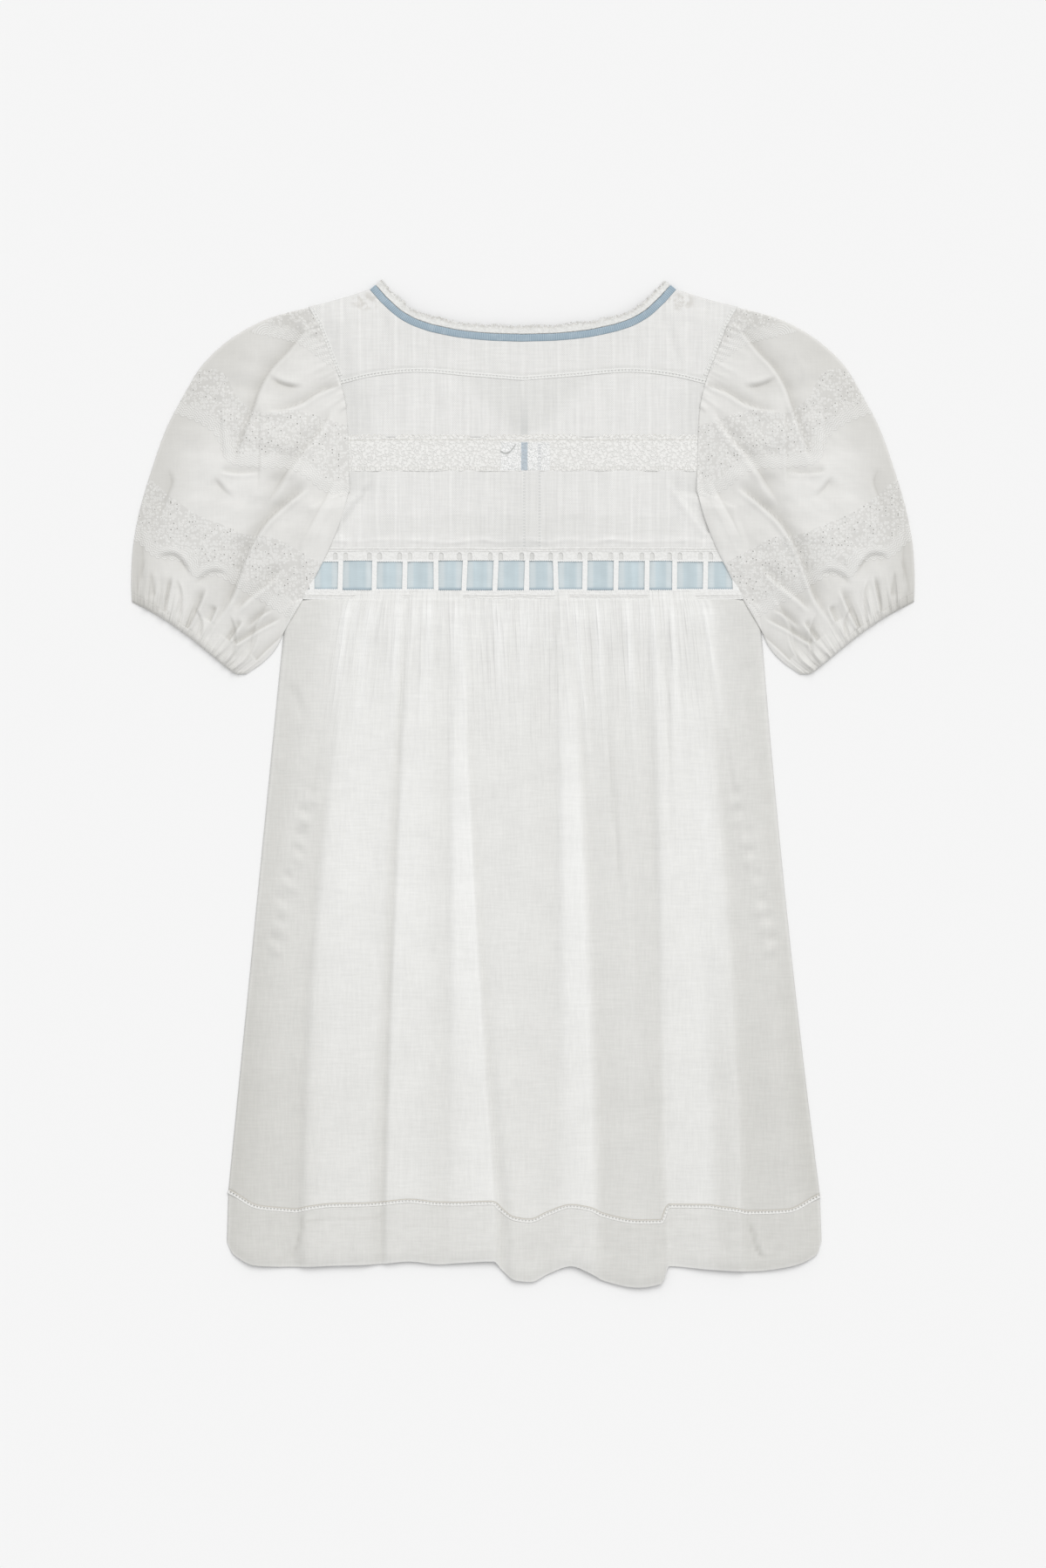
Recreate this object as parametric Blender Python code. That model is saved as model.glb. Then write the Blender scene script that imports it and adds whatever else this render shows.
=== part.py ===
"""An empire-line puff-sleeve dress laid flat on its front, so that its back is on top.

Blender 4.5, metres, +Z up. The dress lies on Z = 0 with its neck towards +Y, and the origin is under
the middle of its outline. The wearer's left is at -X. The tables below are in millimetres.

Every piece is a closed cloth wall. Flat layers are stacked: the front lies on the surface, the two
stretches of ribbon lie on it, and the back lies on top and comes down to the front at its edges.
"""

import math
from collections import namedtuple

import bmesh
import bpy

MM = 0.001

# Cloth
WALL = 1.0  # thickness of every cloth wall
SEAM = 0.3  # gap between pieces that are sewn together or lie on each other
LAYER = WALL + SEAM
STEEPEST = 1.6  # a steep wall gets no more than this many times its thickness, measured upwards

# Layers, as heights of their undersides
FRONT_Z = 0.0
FRONT_RIBBON_Z = LAYER
BACK_RIBBON_Z = 2 * LAYER
BACK_EDGE_Z = LAYER  # where the back is sewn to the front
BACK_Z = 3 * LAYER  # over the ribbons, and across the middle of the back
SLEEVE_LIFT = 4 * LAYER  # where a sleeve lies over the side of the body
EDGE_SLOPE = 22.0  # width over which the back comes down to its edges

# Body, as heights up the dress
LENGTH = 862.0
WAIST_Y = 157.5
BEADING_TOP_Y = 202.0
LACE_BOTTOM_Y = 267.0
LACE_TOP_Y = 297.0
WAIST_HALF = 187.0
UNDERARM_HALF = 178.0
UNDERARM_Y = 235.0

# Narrow trims
TRIM = 4.0  # ladder trims in the yoke, armhole and hem seams
NECK_BINDING = 6.6
NECK_EDGING = 6.5
PLACKET = 18.0  # each of the placket's two facings
PLACKET_BINDING = 5.0
PLACKET_X = 1.5  # the middle of the placket
PLACKET_HALF = PLACKET_BINDING / 2 + SEAM + PLACKET

# Beading and its ribbon
RAIL_TOP = 12.0
RAIL_BOTTOM = 8.2
BAR = 4.0
BAR_PITCH = 26.0
BAR_SHIFT = 3.0
RIBBON = 26.0

# Half outlines and seams, from the middle outwards or from the top down: x, y
NECK_LINE = (
    (0, 377.3), (30, 378.3), (56, 381), (80, 386), (95, 391.3), (109, 399.5), (122, 411.5), (131, 422),
)
YOKE_SEAM = ((0, 346), (44, 349.5), (90, 353), (125, 350), (160, 342.5))
SHOULDER = ((131, 422), (157, 413.5), (183, 407))
ARMHOLE = ((183, 407), (175, 391.5), (166, 368), (157, 344), (152, 322), (150, 294), (149, 249))
UNDERARM = ((149, 249), (160, 245), (UNDERARM_HALF, UNDERARM_Y))
FRONT_NECK_Y = 300.0

# Sleeve outline, from the shoulder round to the underarm: x, y
SLEEVE_OUTER = (
    (183, 407), (203, 402), (224, 395), (251, 379.5), (274, 358), (289, 334), (305, 303.5),
    (317, 270), (327, 236.5), (333, 206), (335, 177.5), (334.5, 155.5),
)
SLEEVE_CUFF = ((334.5, 155.5), (310, 142), (286, 125.5), (262, 106), (247, 94.5), (237, 93.5))
SLEEVE_INNER = (
    (149, 249), (155.7, 225), (167.6, 196), (186, 160.5), (203, 132), (211, 116), (222, 104), (237, 93.5),
)
SLEEVE_ACROSS = (0.0, 0.05, 0.11, 0.18, 0.26, 0.35, 0.45, 0.54, 0.63, 0.72, 0.8, 0.87, 0.94, 1.0)
SLEEVE_ALONG = (0.0, 0.06, 0.14, 0.25, 0.38, 0.52, 0.66, 0.78, 0.89, 0.974)
CUFF_ALONG = (0.976, 0.988, 1.0)
PUFF = 12.0

# Main sleeve folds: where each starts and ends (x, y), its width and its height
Fold = namedtuple("Fold", "x0 y0 x1 y1 width height")
SLEEVE_FOLDS = (
    Fold(193, 377, 247, 285, 14, 2.5),
    Fold(221, 320, 228, 240, 12, 2.0),
    Fold(192, 270, 243, 190, 12, 3.0),
    Fold(243, 190, 262, 148, 12, 2.5),
    Fold(173, 256, 191, 232, 10, 2.0),
    Fold(262, 258, 248, 240, 10, 1.5),
)

# Lines down the back of the skirt: places across at the waist, halfway and at the hem seam, the
# height of the hem seam and of the hem, and the height of the cloth at the same three places.
Line = namedtuple("Line", "name x_waist x_mid x_hem seam_y hem_y rise_waist rise_mid rise_hem")
SKIRT_LINES = (
    Line("left_side", -202, -227, -252, -348.3, -392, 0, 0, 0),
    Line("left_corner", -190, -219, -246, -351.5, -402.5, 0, 0.5, 1),
    Line("left_turn", -175, -203, -227, -361.5, -412, 0.2, 1.5, 4),
    Line("a_left", -155, -184, -200, -365, -413, 0.3, 0.5, 1.5),
    Line("a_right", -144, -176, -190, -363, -413, 1.5, 4, 5),
    Line("a_to_b", -122, -145, -158, -360, -412, 1.2, 3, 5),
    Line("b_left", -103, -112, -122, -359.5, -411, 1.5, 4.5, 6.5),
    Line("b_right", -97, -106.5, -117.5, -358, -410, 0.5, 2.5, 1),
    Line("b_to_c", -80, -85, -100, -356.5, -408.5, 1.2, 2.5, 3),
    Line("c", -64, -60, -74, -360, -412.5, 1.5, 4, 5),
    Line("c_to_d", -59, -49, -46, -356.5, -407.5, 1.2, 4.5, 3.5),
    Line("d_left", -55, -41, -19, -358.5, -408.4, 1.5, 4.5, 1.5),
    Line("d_right", -50, -34, -12, -371, -424, 0.5, 0.8, 6),
    Line("d_to_e", -20, -8, 4, -373.5, -426, 0.5, 1.2, 3),
    Line("e_left", 25, 26, 24, -367, -419, 0.4, 0.8, 2.5),
    Line("e_right", 31, 35, 43, -361, -412.5, 1.5, 4, 4),
    Line("f_left", 40, 58, 67, -364.7, -424, 1.5, 4.5, 5.5),
    Line("f_right", 46, 66, 74, -371, -427, 0.4, 0.8, 3),
    Line("f_to_g", 75, 90, 100, -374.4, -LENGTH / 2, 0.5, 1.5, 4),
    Line("g_left", 105, 113, 119, -373.8, -427, 0.5, 1, 6.5),
    Line("g_right", 111, 120, 124, -361, -412.6, 1.5, 4, 1),
    Line("g_to_h", 128, 148, 158, -361, -415.4, 1.2, 3, 4),
    Line("h_left", 144.5, 176, 192, -365, -417, 1.5, 4, 5),
    Line("h_right", 154, 185, 203, -368, -417.3, 0.3, 0.6, 1.5),
    Line("right_turn", 175, 203, 230, -364, -412.5, 0.2, 1.5, 4),
    Line("right_corner", 190, 217, 249, -354.5, -403, 0, 0.5, 1),
    Line("right_side", 202, 224.5, 254, -352, -391.5, 0, 0, 0),
)
SKIRT_ALONG = (0.0, 0.03, 0.07, 0.13, 0.22, 0.34, 0.47, 0.6, 0.73, 0.85, 0.94, 1.0)
HEM_ALONG = (0.0, 0.35, 0.7, 1.0)
EDGE_COLUMNS = (0, 0.03, 0.06, 0.09, 0.13, 0.3, 0.5, 0.7, 0.87, 0.91, 0.94, 0.97, 1)
YOKE_COLUMNS = (0, 17, 33, 48, 60, 71, 81, 89, 96, 103, 110, 116, 122, 127, 131, 145, 165, 183)
FRONT_ROWS = (0, 0.08, 0.14, 0.2, 0.3, 0.45, 0.55, 0.64, 0.73, 0.82, 0.91, 1)
STRIP_STEP = 8.5  # longest stretch of a curved strip between two of its points
SIDE_FLARE = 15.0  # how much narrower the skirt's top corners are than its sides run straight up
SIDE_FLARE_REACH = 0.03
HEM_SLANT = 0.3  # how much of the skirt's slant its hem band keeps
WAIST_SLOPE = 0.13  # part of the skirt's length over which it comes down from the waist seam
FRONT_SEAM_Y = -352.0
FRONT_HEM_Y = -402.0
HEM_CORNER = 12.0  # how far the front hem rises at its rounded corners
HEM_CORNER_X = 225.0  # where the corners start

# Colours, roughness
COTTON = (0.83, 0.83, 0.81, 0.85)
SLEEVE_COTTON = (0.80, 0.79, 0.77, 0.88)
LACE = (0.86, 0.86, 0.85, 0.9)
RIBBON_BLUE = (0.53, 0.64, 0.70, 0.45)
BINDING_BLUE = (0.33, 0.46, 0.58, 0.7)


def clear_scene():
    for thing in list(bpy.data.objects):
        bpy.data.objects.remove(thing)


def smooth(value):
    """0 below 0, 1 above 1, with an easy start and end."""
    value = min(1.0, max(0.0, value))
    return value * value * (3.0 - 2.0 * value)


def mix(first, second, share):
    return first + (second - first) * share


def reach(points, place):
    """The point at this part (0 to 1) of a smooth line through the points, by length."""
    spans = [math.dist(a, b) for a, b in zip(points, points[1:])]
    left = place * sum(spans)
    span = 0
    while span < len(spans) - 1 and left > spans[span]:
        left -= spans[span]
        span += 1
    share = min(1.0, left / spans[span])
    return tuple(spline(*four, share) for four in zip(*around(points, span)))


def around(points, span):
    """The ends of a span and their neighbours; past the line's ends, the span is carried on."""
    start, end = points[span], points[span + 1]
    before = points[span - 1] if span > 0 else tuple(2 * a - b for a, b in zip(start, end))
    after = points[span + 2] if span + 2 < len(points) else tuple(2 * b - a for a, b in zip(start, end))
    return before, start, end, after


def spline(before, start, end, after, share):
    """A Catmull-Rom value between start and end."""
    slope_in, slope_out = (end - before) / 2, (after - start) / 2
    square, cube = share * share, share ** 3
    return (
        (2 * cube - 3 * square + 1) * start
        + (cube - 2 * square + share) * slope_in
        + (3 * square - 2 * cube) * end
        + (cube - square) * slope_out
    )


def value_at(points, key, axis=0):
    """The other coordinate of a line of points where the one on this axis has this value."""
    rows = sorted(points, key=lambda point: point[axis])
    key = min(max(key, rows[0][axis]), rows[-1][axis])
    span = 0
    while span < len(rows) - 2 and key > rows[span + 1][axis]:
        span += 1
    share = (key - rows[span][axis]) / (rows[span + 1][axis] - rows[span][axis])
    return spline(*[point[1 - axis] for point in around(rows, span)], share)


def side_half(y):
    """Half the width of the body at this height, out to its armhole or side seam."""
    if y >= ARMHOLE[-1][1]:
        return value_at(ARMHOLE, y, axis=1)
    if y >= UNDERARM_Y:
        return value_at(UNDERARM, y, axis=1)
    return mix(WAIST_HALF, UNDERARM_HALF, smooth((y - BEADING_TOP_Y) / (UNDERARM_Y - BEADING_TOP_Y)))


def shoulder_y(x):
    """Height of the shoulder line, carried on straight over the neck."""
    start, end = SHOULDER[0], SHOULDER[-1]
    return mix(start[1], end[1], (abs(x) - start[0]) / (end[0] - start[0]))


def back_low(x, y):
    """Underside of the back of the bodice: down on the front at its sides and shoulders."""
    side = smooth((side_half(y) - abs(x)) / EDGE_SLOPE)
    over_ribbon = smooth((UNDERARM_Y - y) / (UNDERARM_Y - BEADING_TOP_Y))
    shoulder = smooth((shoulder_y(x) - y) / EDGE_SLOPE)
    return mix(BACK_EDGE_Z, BACK_Z, max(side, over_ribbon) * shoulder)


def material(name, look):
    """A plain Principled material from a colour and a roughness."""
    made = bpy.data.materials.new(name)
    made.use_nodes = True
    shader = made.node_tree.nodes["Principled BSDF"]
    shader.inputs["Base Color"].default_value = (*look[:3], 1.0)
    shader.inputs["Roughness"].default_value = look[3]
    shader.inputs["Metallic"].default_value = 0.0
    return made


def add_object(name, points, faces, look):
    """A closed mesh from millimetre points, its faces turned outwards."""
    mesh = bpy.data.meshes.new(name)
    shape = bmesh.new()
    corners = [shape.verts.new([value * MM for value in point]) for point in points]
    for face in faces:
        shape.faces.new([corners[index] for index in face])
    unused = [corner for corner in shape.verts if not corner.link_faces]
    bmesh.ops.delete(shape, geom=unused, context="VERTS")
    bmesh.ops.recalc_face_normals(shape, faces=shape.faces)
    shape.to_mesh(mesh)
    shape.free()
    mesh.materials.append(material(name, look))
    made = bpy.data.objects.new(name, mesh)
    bpy.context.scene.collection.objects.link(made)
    return made


def upward_wall(grid, row, column):
    """How thick the wall is, measured upwards, so that it is WALL thick across its slope."""
    left, right = grid[row][max(column - 1, 0)], grid[row][min(column + 1, len(grid[row]) - 1)]
    below, above = grid[max(row - 1, 0)][column], grid[min(row + 1, len(grid) - 1)][column]
    across = [b - a for a, b in zip(left, right)]
    along = [b - a for a, b in zip(below, above)]
    normal = (
        across[1] * along[2] - across[2] * along[1],
        across[2] * along[0] - across[0] * along[2],
        across[0] * along[1] - across[1] * along[0],
    )
    return WALL * min(STEEPEST, math.hypot(*normal) / abs(normal[2]))


def add_wall(name, grid, look, keep=None):
    """A closed cloth wall on a grid of points of its underside; keep(row, column) leaves cells out."""
    rows, columns = len(grid), len(grid[0])
    under = [point for row in grid for point in row]
    over = [
        (x, y, z + upward_wall(grid, row, column))
        for row in range(rows)
        for column, (x, y, z) in enumerate(grid[row])
    ]
    lift = rows * columns
    kept = {
        (row, column)
        for row in range(rows - 1)
        for column in range(columns - 1)
        if keep is None or keep(row, column)
    }
    faces = []
    for row, column in kept:
        first = row * columns + column
        ring = (first, first + 1, first + columns + 1, first + columns)
        faces.append(ring[::-1])
        faces.append([index + lift for index in ring])
        beside = ((row - 1, column), (row, column + 1), (row + 1, column), (row, column - 1))
        for side, cell in enumerate(beside):
            if cell not in kept:
                start, end = ring[side], ring[(side + 1) % 4]
                faces.append((start, end, end + lift, start + lift))
    return add_object(name, under + over, faces, look)


def evenly(steps):
    return [step / steps for step in range(steps + 1)]


def panel_grid(left, right, bottom, top, low, columns, rows):
    """A grid between two side lines x(y) and two cross lines y(x), with undersides from low(x, y).

    columns and rows are the parts (0 to 1) of the way across and up.
    """
    grid = []
    for up in rows:
        line = []
        for over in columns:
            x, y = 0.0, mix(bottom(0.0), top(0.0), up)
            for _ in range(6):
                x = mix(left(y), right(y), over)
                y = mix(bottom(x), top(x), up)
            line.append((x, y, low(x, y)))
        grid.append(line)
    return grid


def level(height):
    """A cross line at one height."""
    return lambda x: height


def seam_above(line):
    return lambda x: line(x) + SEAM / 2


def seam_below(line):
    return lambda x: line(x) - SEAM / 2


def yoke_seam(x):
    return value_at(YOKE_SEAM, abs(x))


def neck_y(x):
    """The neck seam, between the yoke and its binding."""
    return value_at(NECK_LINE, abs(x))


def yoke_top(x):
    """Top edge of the yoke: the neck seam, then the shoulder."""
    if abs(x) <= NECK_LINE[-1][0]:
        return neck_y(x)
    return value_at(SHOULDER, abs(x))


def back_left(inset):
    return lambda y: inset - side_half(y)


def back_right(inset):
    return lambda y: side_half(y) - inset


def add_back_bodice():
    """Yoke, ladder trims, upper panel, lace insertion and lower panel, from the neck down."""
    sides = back_left(SEAM), back_right(SEAM)
    yoke_sides = back_left(TRIM + 2 * SEAM), back_right(TRIM + 2 * SEAM)
    trim_top = lambda x: yoke_seam(x) + TRIM / 2
    trim_bottom = lambda x: yoke_seam(x) - TRIM / 2
    half = side_half(SHOULDER[-1][1])
    right_columns = [0.5 + x / half / 2 for x in YOKE_COLUMNS]
    curved = [1.0 - column for column in reversed(right_columns[1:])] + right_columns
    straight = EDGE_COLUMNS
    strips = (
        ("back_yoke", yoke_sides, seam_above(trim_top), seam_below(yoke_top), curved, 4, COTTON),
        ("back_yoke_trim", sides, seam_above(trim_bottom), seam_below(trim_top), curved, 1, LACE),
        ("back_upper_panel", sides, level(LACE_TOP_Y), seam_below(trim_bottom), evenly(20), 3, COTTON),
        ("back_lace_insertion", sides, level(LACE_BOTTOM_Y), level(LACE_TOP_Y - SEAM), straight, 2, LACE),
        ("back_lower_panel", sides, level(BEADING_TOP_Y), level(LACE_BOTTOM_Y - SEAM), straight, 6, COTTON),
    )
    for name, (left, right), bottom, top, columns, rows, look in strips:
        grid = panel_grid(left, right, bottom, top, back_low, columns, evenly(rows))
        add_wall(name, grid, look)
    for name, sign in (("back_armhole_trim_left", -1), ("back_armhole_trim_right", 1)):
        inner = lambda y: sign * (side_half(y) - TRIM - SEAM)
        outer = lambda y: sign * (side_half(y) - SEAM)
        ends = seam_above(trim_top), seam_below(yoke_top)
        grid = panel_grid(inner, outer, *ends, back_low, evenly(1), evenly(4))
        add_wall(name, grid, LACE)


def add_strip(name, height_at, start, end, near, far, low, look):
    """A narrow strip along the line y = height_at(x), between two distances above it."""
    steps = math.ceil(abs(end - start) / STRIP_STEP)
    rows = [[], []]
    for place in evenly(steps):
        x = mix(start, end, place)
        y = height_at(x)
        before, after = max(x - 1, start), min(x + 1, end)
        slope = (height_at(after) - height_at(before)) / (after - before)
        run = math.hypot(1.0, slope)
        for row, distance in zip(rows, (near, far)):
            across, up = x - slope / run * distance, y + distance / run
            row.append((across, up, low(across, up)))
    add_wall(name, rows, look)


def add_neck():
    """The blue binding on the neck seam, and the lace edging that stands beyond it."""
    tip = NECK_LINE[-1][0]
    left_end, right_end = PLACKET_X - PLACKET_HALF - SEAM, PLACKET_X + PLACKET_HALF + SEAM
    near = SEAM / 2
    far = near + NECK_BINDING
    flat = lambda x, y: FRONT_Z
    add_strip("back_neck_binding", neck_y, -tip, tip, near, far, back_low, BINDING_BLUE)
    add_strip("back_neck_edging", neck_y, -tip, tip, far + SEAM, far + SEAM + NECK_EDGING, back_low, LACE)
    add_strip("front_neck_binding_left", front_neck_y, -tip, left_end, near, far, flat, BINDING_BLUE)
    add_strip("front_neck_binding_right", front_neck_y, right_end, tip, near, far, flat, BINDING_BLUE)


def front_neck_y(x):
    """The front neckline, a plain V from the shoulders down to the corners of the placket."""
    corner = PLACKET_HALF + SEAM
    place = (abs(x - PLACKET_X * (1 - abs(x) / NECK_LINE[-1][0])) - corner) / (NECK_LINE[-1][0] - corner)
    return mix(FRONT_NECK_Y, NECK_LINE[-1][1], place)


def front_top(x):
    return min(front_neck_y(x), shoulder_y(x))


def add_front_bodice():
    """Two plain panels and the placket between them, from the neck down to the beading."""
    flat = lambda x, y: FRONT_Z
    bottom = level(BEADING_TOP_Y)
    left_edge = level(PLACKET_X - PLACKET_HALF - SEAM)
    right_edge = level(PLACKET_X + PLACKET_HALF + SEAM)
    halves = (
        ("front_bodice_left", back_left(SEAM), left_edge),
        ("front_bodice_right", right_edge, back_right(SEAM)),
    )
    for name, left, right in halves:
        grid = panel_grid(left, right, bottom, seam_below(front_top), flat, evenly(7), FRONT_ROWS)
        add_wall(name, grid, COTTON)
    binding = PLACKET_BINDING / 2
    strips = (
        ("front_placket_left", -PLACKET_HALF, -binding - SEAM, COTTON),
        ("front_placket_binding", -binding, binding, BINDING_BLUE),
        ("front_placket_right", binding + SEAM, PLACKET_HALF, COTTON),
    )
    top = level(FRONT_NECK_Y)
    for name, start, end, look in strips:
        edges = level(PLACKET_X + start), level(PLACKET_X + end)
        add_wall(name, panel_grid(*edges, bottom, top, flat, evenly(1), evenly(1)), look)


def add_beading(name, low_z):
    """A beading band: two rails and the bars between them, with a window for the ribbon in each gap."""
    bars = []
    place = BAR_SHIFT - BAR_PITCH * math.floor((WAIST_HALF + BAR_SHIFT) / BAR_PITCH)
    while place < WAIST_HALF - BAR:
        bars.append(place)
        place += BAR_PITCH
    edges = [-WAIST_HALF + SEAM]
    for bar in bars:
        edges += [bar - BAR / 2, bar + BAR / 2]
    edges.append(WAIST_HALF - SEAM)
    heights = (WAIST_Y + SEAM, WAIST_Y + RAIL_BOTTOM, BEADING_TOP_Y - RAIL_TOP, BEADING_TOP_Y - SEAM)
    grid = [[(x, y, low_z) for x in edges] for y in heights]
    add_wall(name, grid, LACE, keep=lambda row, column: row != 1 or column % 2 == 1)


def add_ribbon(name, low_z):
    """The satin ribbon behind the beading's bars."""
    middle = (WAIST_Y + RAIL_BOTTOM + BEADING_TOP_Y - RAIL_TOP) / 2
    half = WAIST_HALF - SEAM
    grid = [[(x, y, low_z) for x in (-half, 0, half)] for y in (middle - RIBBON / 2, middle + RIBBON / 2)]
    add_wall(name, grid, RIBBON_BLUE)


def through_three(start, middle, end, place):
    """The value at this part of a curve that has these values at its start, middle and end."""
    return (
        start * (1 - place) * (1 - 2 * place)
        + middle * 4 * place * (1 - place)
        + end * place * (2 * place - 1)
    )


def skirt_point(line, down):
    """A point on the underside of the back of the skirt, this part of the way to the hem seam."""
    x = through_three(line.x_waist, line.x_mid, line.x_hem, down)
    flare = SIDE_FLARE * math.exp(-down / SIDE_FLARE_REACH) * x / SKIRT_LINES[-1].x_waist
    rise = through_three(line.rise_waist, line.rise_mid, line.rise_hem, down)
    base = mix(BACK_Z, BACK_EDGE_Z, smooth(down / WAIST_SLOPE))
    y = mix(WAIST_Y - SEAM, line.seam_y + TRIM / 2 + SEAM, down)
    return x - flare, y, base + max(0.0, rise)


def hem_point(line, start_y, end_y, down):
    """A point below the hem seam, on the same line."""
    slant = (line.x_hem - line.x_mid) / (line.seam_y - (WAIST_Y + line.seam_y) / 2)
    y = mix(start_y, end_y, down)
    return line.x_hem + HEM_SLANT * slant * (y - line.seam_y), y, BACK_EDGE_Z + line.rise_hem


def add_back_skirt():
    """The gathered back skirt, the ladder trim in its hem seam, and the deep hem band."""
    skirt = [[skirt_point(line, down) for line in SKIRT_LINES] for down in SKIRT_ALONG]
    add_wall("back_skirt", skirt, COTTON)
    trim = [
        [hem_point(line, line.seam_y + TRIM / 2, line.seam_y - TRIM / 2, down) for line in SKIRT_LINES]
        for down in (0.0, 1.0)
    ]
    add_wall("back_hem_trim", trim, LACE)
    band = [
        [hem_point(line, line.seam_y - TRIM / 2 - SEAM, line.hem_y, down) for line in SKIRT_LINES]
        for down in HEM_ALONG
    ]
    add_wall("back_hem_band", band, COTTON)


def front_skirt_side(sign, y):
    """The front's side edge, which is the back's, a hair inside it."""
    line = SKIRT_LINES[0] if sign < 0 else SKIRT_LINES[-1]
    down = (WAIST_Y - y) / (WAIST_Y - line.seam_y)
    x = through_three(line.x_waist, line.x_mid, line.x_hem, min(down, 1.0))
    return x - sign * (SIDE_FLARE * math.exp(-down / SIDE_FLARE_REACH) + SEAM)


def add_front_skirt():
    """The front skirt, its hem trim and band, flat on the surface and plain."""
    flat = lambda x, y: FRONT_Z
    left = lambda y: front_skirt_side(-1, y)
    right = lambda y: front_skirt_side(1, y)
    hem = lambda x: FRONT_HEM_Y + HEM_CORNER * smooth((abs(x) - HEM_CORNER_X) / 30.0)
    seam_top = FRONT_SEAM_Y + TRIM
    strips = (
        ("front_skirt", level(seam_top), level(WAIST_Y - SEAM), evenly(2), evenly(15), COTTON),
        ("front_hem_trim", level(FRONT_SEAM_Y), level(seam_top - SEAM), evenly(2), evenly(1), LACE),
        ("front_hem_band", hem, level(FRONT_SEAM_Y - SEAM), EDGE_COLUMNS, evenly(2), COTTON),
    )
    for name, bottom, top, columns, rows, look in strips:
        add_wall(name, panel_grid(left, right, bottom, top, flat, columns, rows), look)


def sleeve_plan(across, along):
    """A point of the right sleeve's outline patch: across from its inner edge, along from its armhole."""
    armhole_y = reach(ARMHOLE[::-1], across)[1]
    armhole = side_half(armhole_y), armhole_y
    cuff = reach(SLEEVE_CUFF[::-1], across)
    inner = reach(SLEEVE_INNER, along)
    outer = reach(SLEEVE_OUTER, along)
    corners = ARMHOLE[-1], ARMHOLE[0], SLEEVE_CUFF[-1], SLEEVE_CUFF[0]
    return tuple(
        mix(armhole[axis], cuff[axis], along)
        + mix(inner[axis], outer[axis], across)
        - mix(
            mix(corners[0][axis], corners[1][axis], across),
            mix(corners[2][axis], corners[3][axis], across),
            along,
        )
        for axis in (0, 1)
    )


def body_half(y):
    """Half the width of the body or skirt that a sleeve can lie over."""
    if y >= WAIST_Y:
        return side_half(y)
    return front_skirt_side(1, y)


def sleeve_lift(x, y):
    """How far the sleeve's lower wall is raised where it lies over the side of the body."""
    over_body = smooth((body_half(y) + 22.0 - x) / 13.0)
    below_armhole = smooth((272.0 - y) / 20.0)
    return SLEEVE_LIFT * over_body * below_armhole


def fold_rise(x, y):
    """Height that the main folds add to the top of a sleeve."""
    rise = 0.0
    for fold in SLEEVE_FOLDS:
        run = (fold.x1 - fold.x0, fold.y1 - fold.y0)
        length = math.hypot(*run)
        along = ((x - fold.x0) * run[0] + (y - fold.y0) * run[1]) / length ** 2
        away = ((x - fold.x0) * run[1] - (y - fold.y0) * run[0]) / length
        ends = smooth(along / 0.25) * smooth((1.0 - along) / 0.25)
        rise += fold.height * ends * math.exp(-((away / fold.width) ** 2))
    return rise


def puff(across, along, x, y):
    """Height of the air in the sleeve, least at its edges, its cap and its cuff."""
    round_over = math.sin(math.pi * min(1.0, max(0.0, across))) ** 0.7
    ends = smooth(along / 0.3) * (1.0 - 0.75 * smooth((along - 0.55) / 0.45))
    return round_over * (0.6 + (PUFF - 0.6) * ends + fold_rise(x, y) * ends)


def add_tube(name, sign, alongs, look):
    """A flattened cloth tube, open at both ends, over the sleeve's outline patch."""
    outer, inner = [], []
    for along in alongs:
        floor_out, roof_out, floor_in, roof_in = [], [], [], []
        for across in SLEEVE_ACROSS:
            x, y = sleeve_plan(across, along)
            gap = SEAM if along == 0.0 else 0.0
            low = sleeve_lift(x, y)
            roof = low + LAYER + puff(across, along, x, y)
            floor_out.append((sign * (x + gap), y, low))
            roof_out.append((sign * (x + gap), y, roof + WALL))
            inset = WALL / 60.0 * (1.0 if across == 0.0 else -1.0 if across == 1.0 else 0.0)
            x, y = sleeve_plan(across + inset, along)
            floor_in.append((sign * (x + gap), y, low + WALL))
            roof_in.append((sign * (x + gap), y, roof))
        outer.append(roof_out + floor_out[::-1])
        inner.append(roof_in + floor_in[::-1])
    ring, rings = len(outer[0]), len(outer)
    points = [point for line in outer + inner for point in line]
    faces = []
    for step in range(rings):
        for index in range(ring):
            after = (index + 1) % ring
            if step < rings - 1:
                for shell in (0, rings * ring):
                    first = shell + step * ring
                    faces.append((first + index, first + after, first + ring + after, first + ring + index))
            if step in (0, rings - 1):
                first, second = step * ring, (rings + step) * ring
                faces.append((first + index, first + after, second + after, second + index))
    return add_object(name, points, faces, look)


def add_sleeves():
    for side, sign in (("left", -1), ("right", 1)):
        add_tube("sleeve_" + side, sign, SLEEVE_ALONG, SLEEVE_COTTON)
        add_tube("cuff_" + side, sign, CUFF_ALONG, SLEEVE_COTTON)


def main():
    clear_scene()
    add_back_bodice()
    add_neck()
    add_front_bodice()
    add_beading("front_beading", FRONT_Z)
    add_beading("back_beading", BACK_Z)
    add_ribbon("front_ribbon", FRONT_RIBBON_Z)
    add_ribbon("back_ribbon", BACK_RIBBON_Z)
    add_back_skirt()
    add_front_skirt()
    add_sleeves()


main()
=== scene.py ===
# %% [markdown]
# # A puff-sleeve dress, laid flat with its back on top
# This lesson dresses the packed frame of a short, gathered cotton dress. The frame already has every
# panel at its right size. Here each panel gets its real cloth: thin, creased, gathered and trimmed.
# The frame comes first, because every piece below is placed in its coordinates.

# %% Load the frame
import math
from collections import namedtuple

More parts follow.
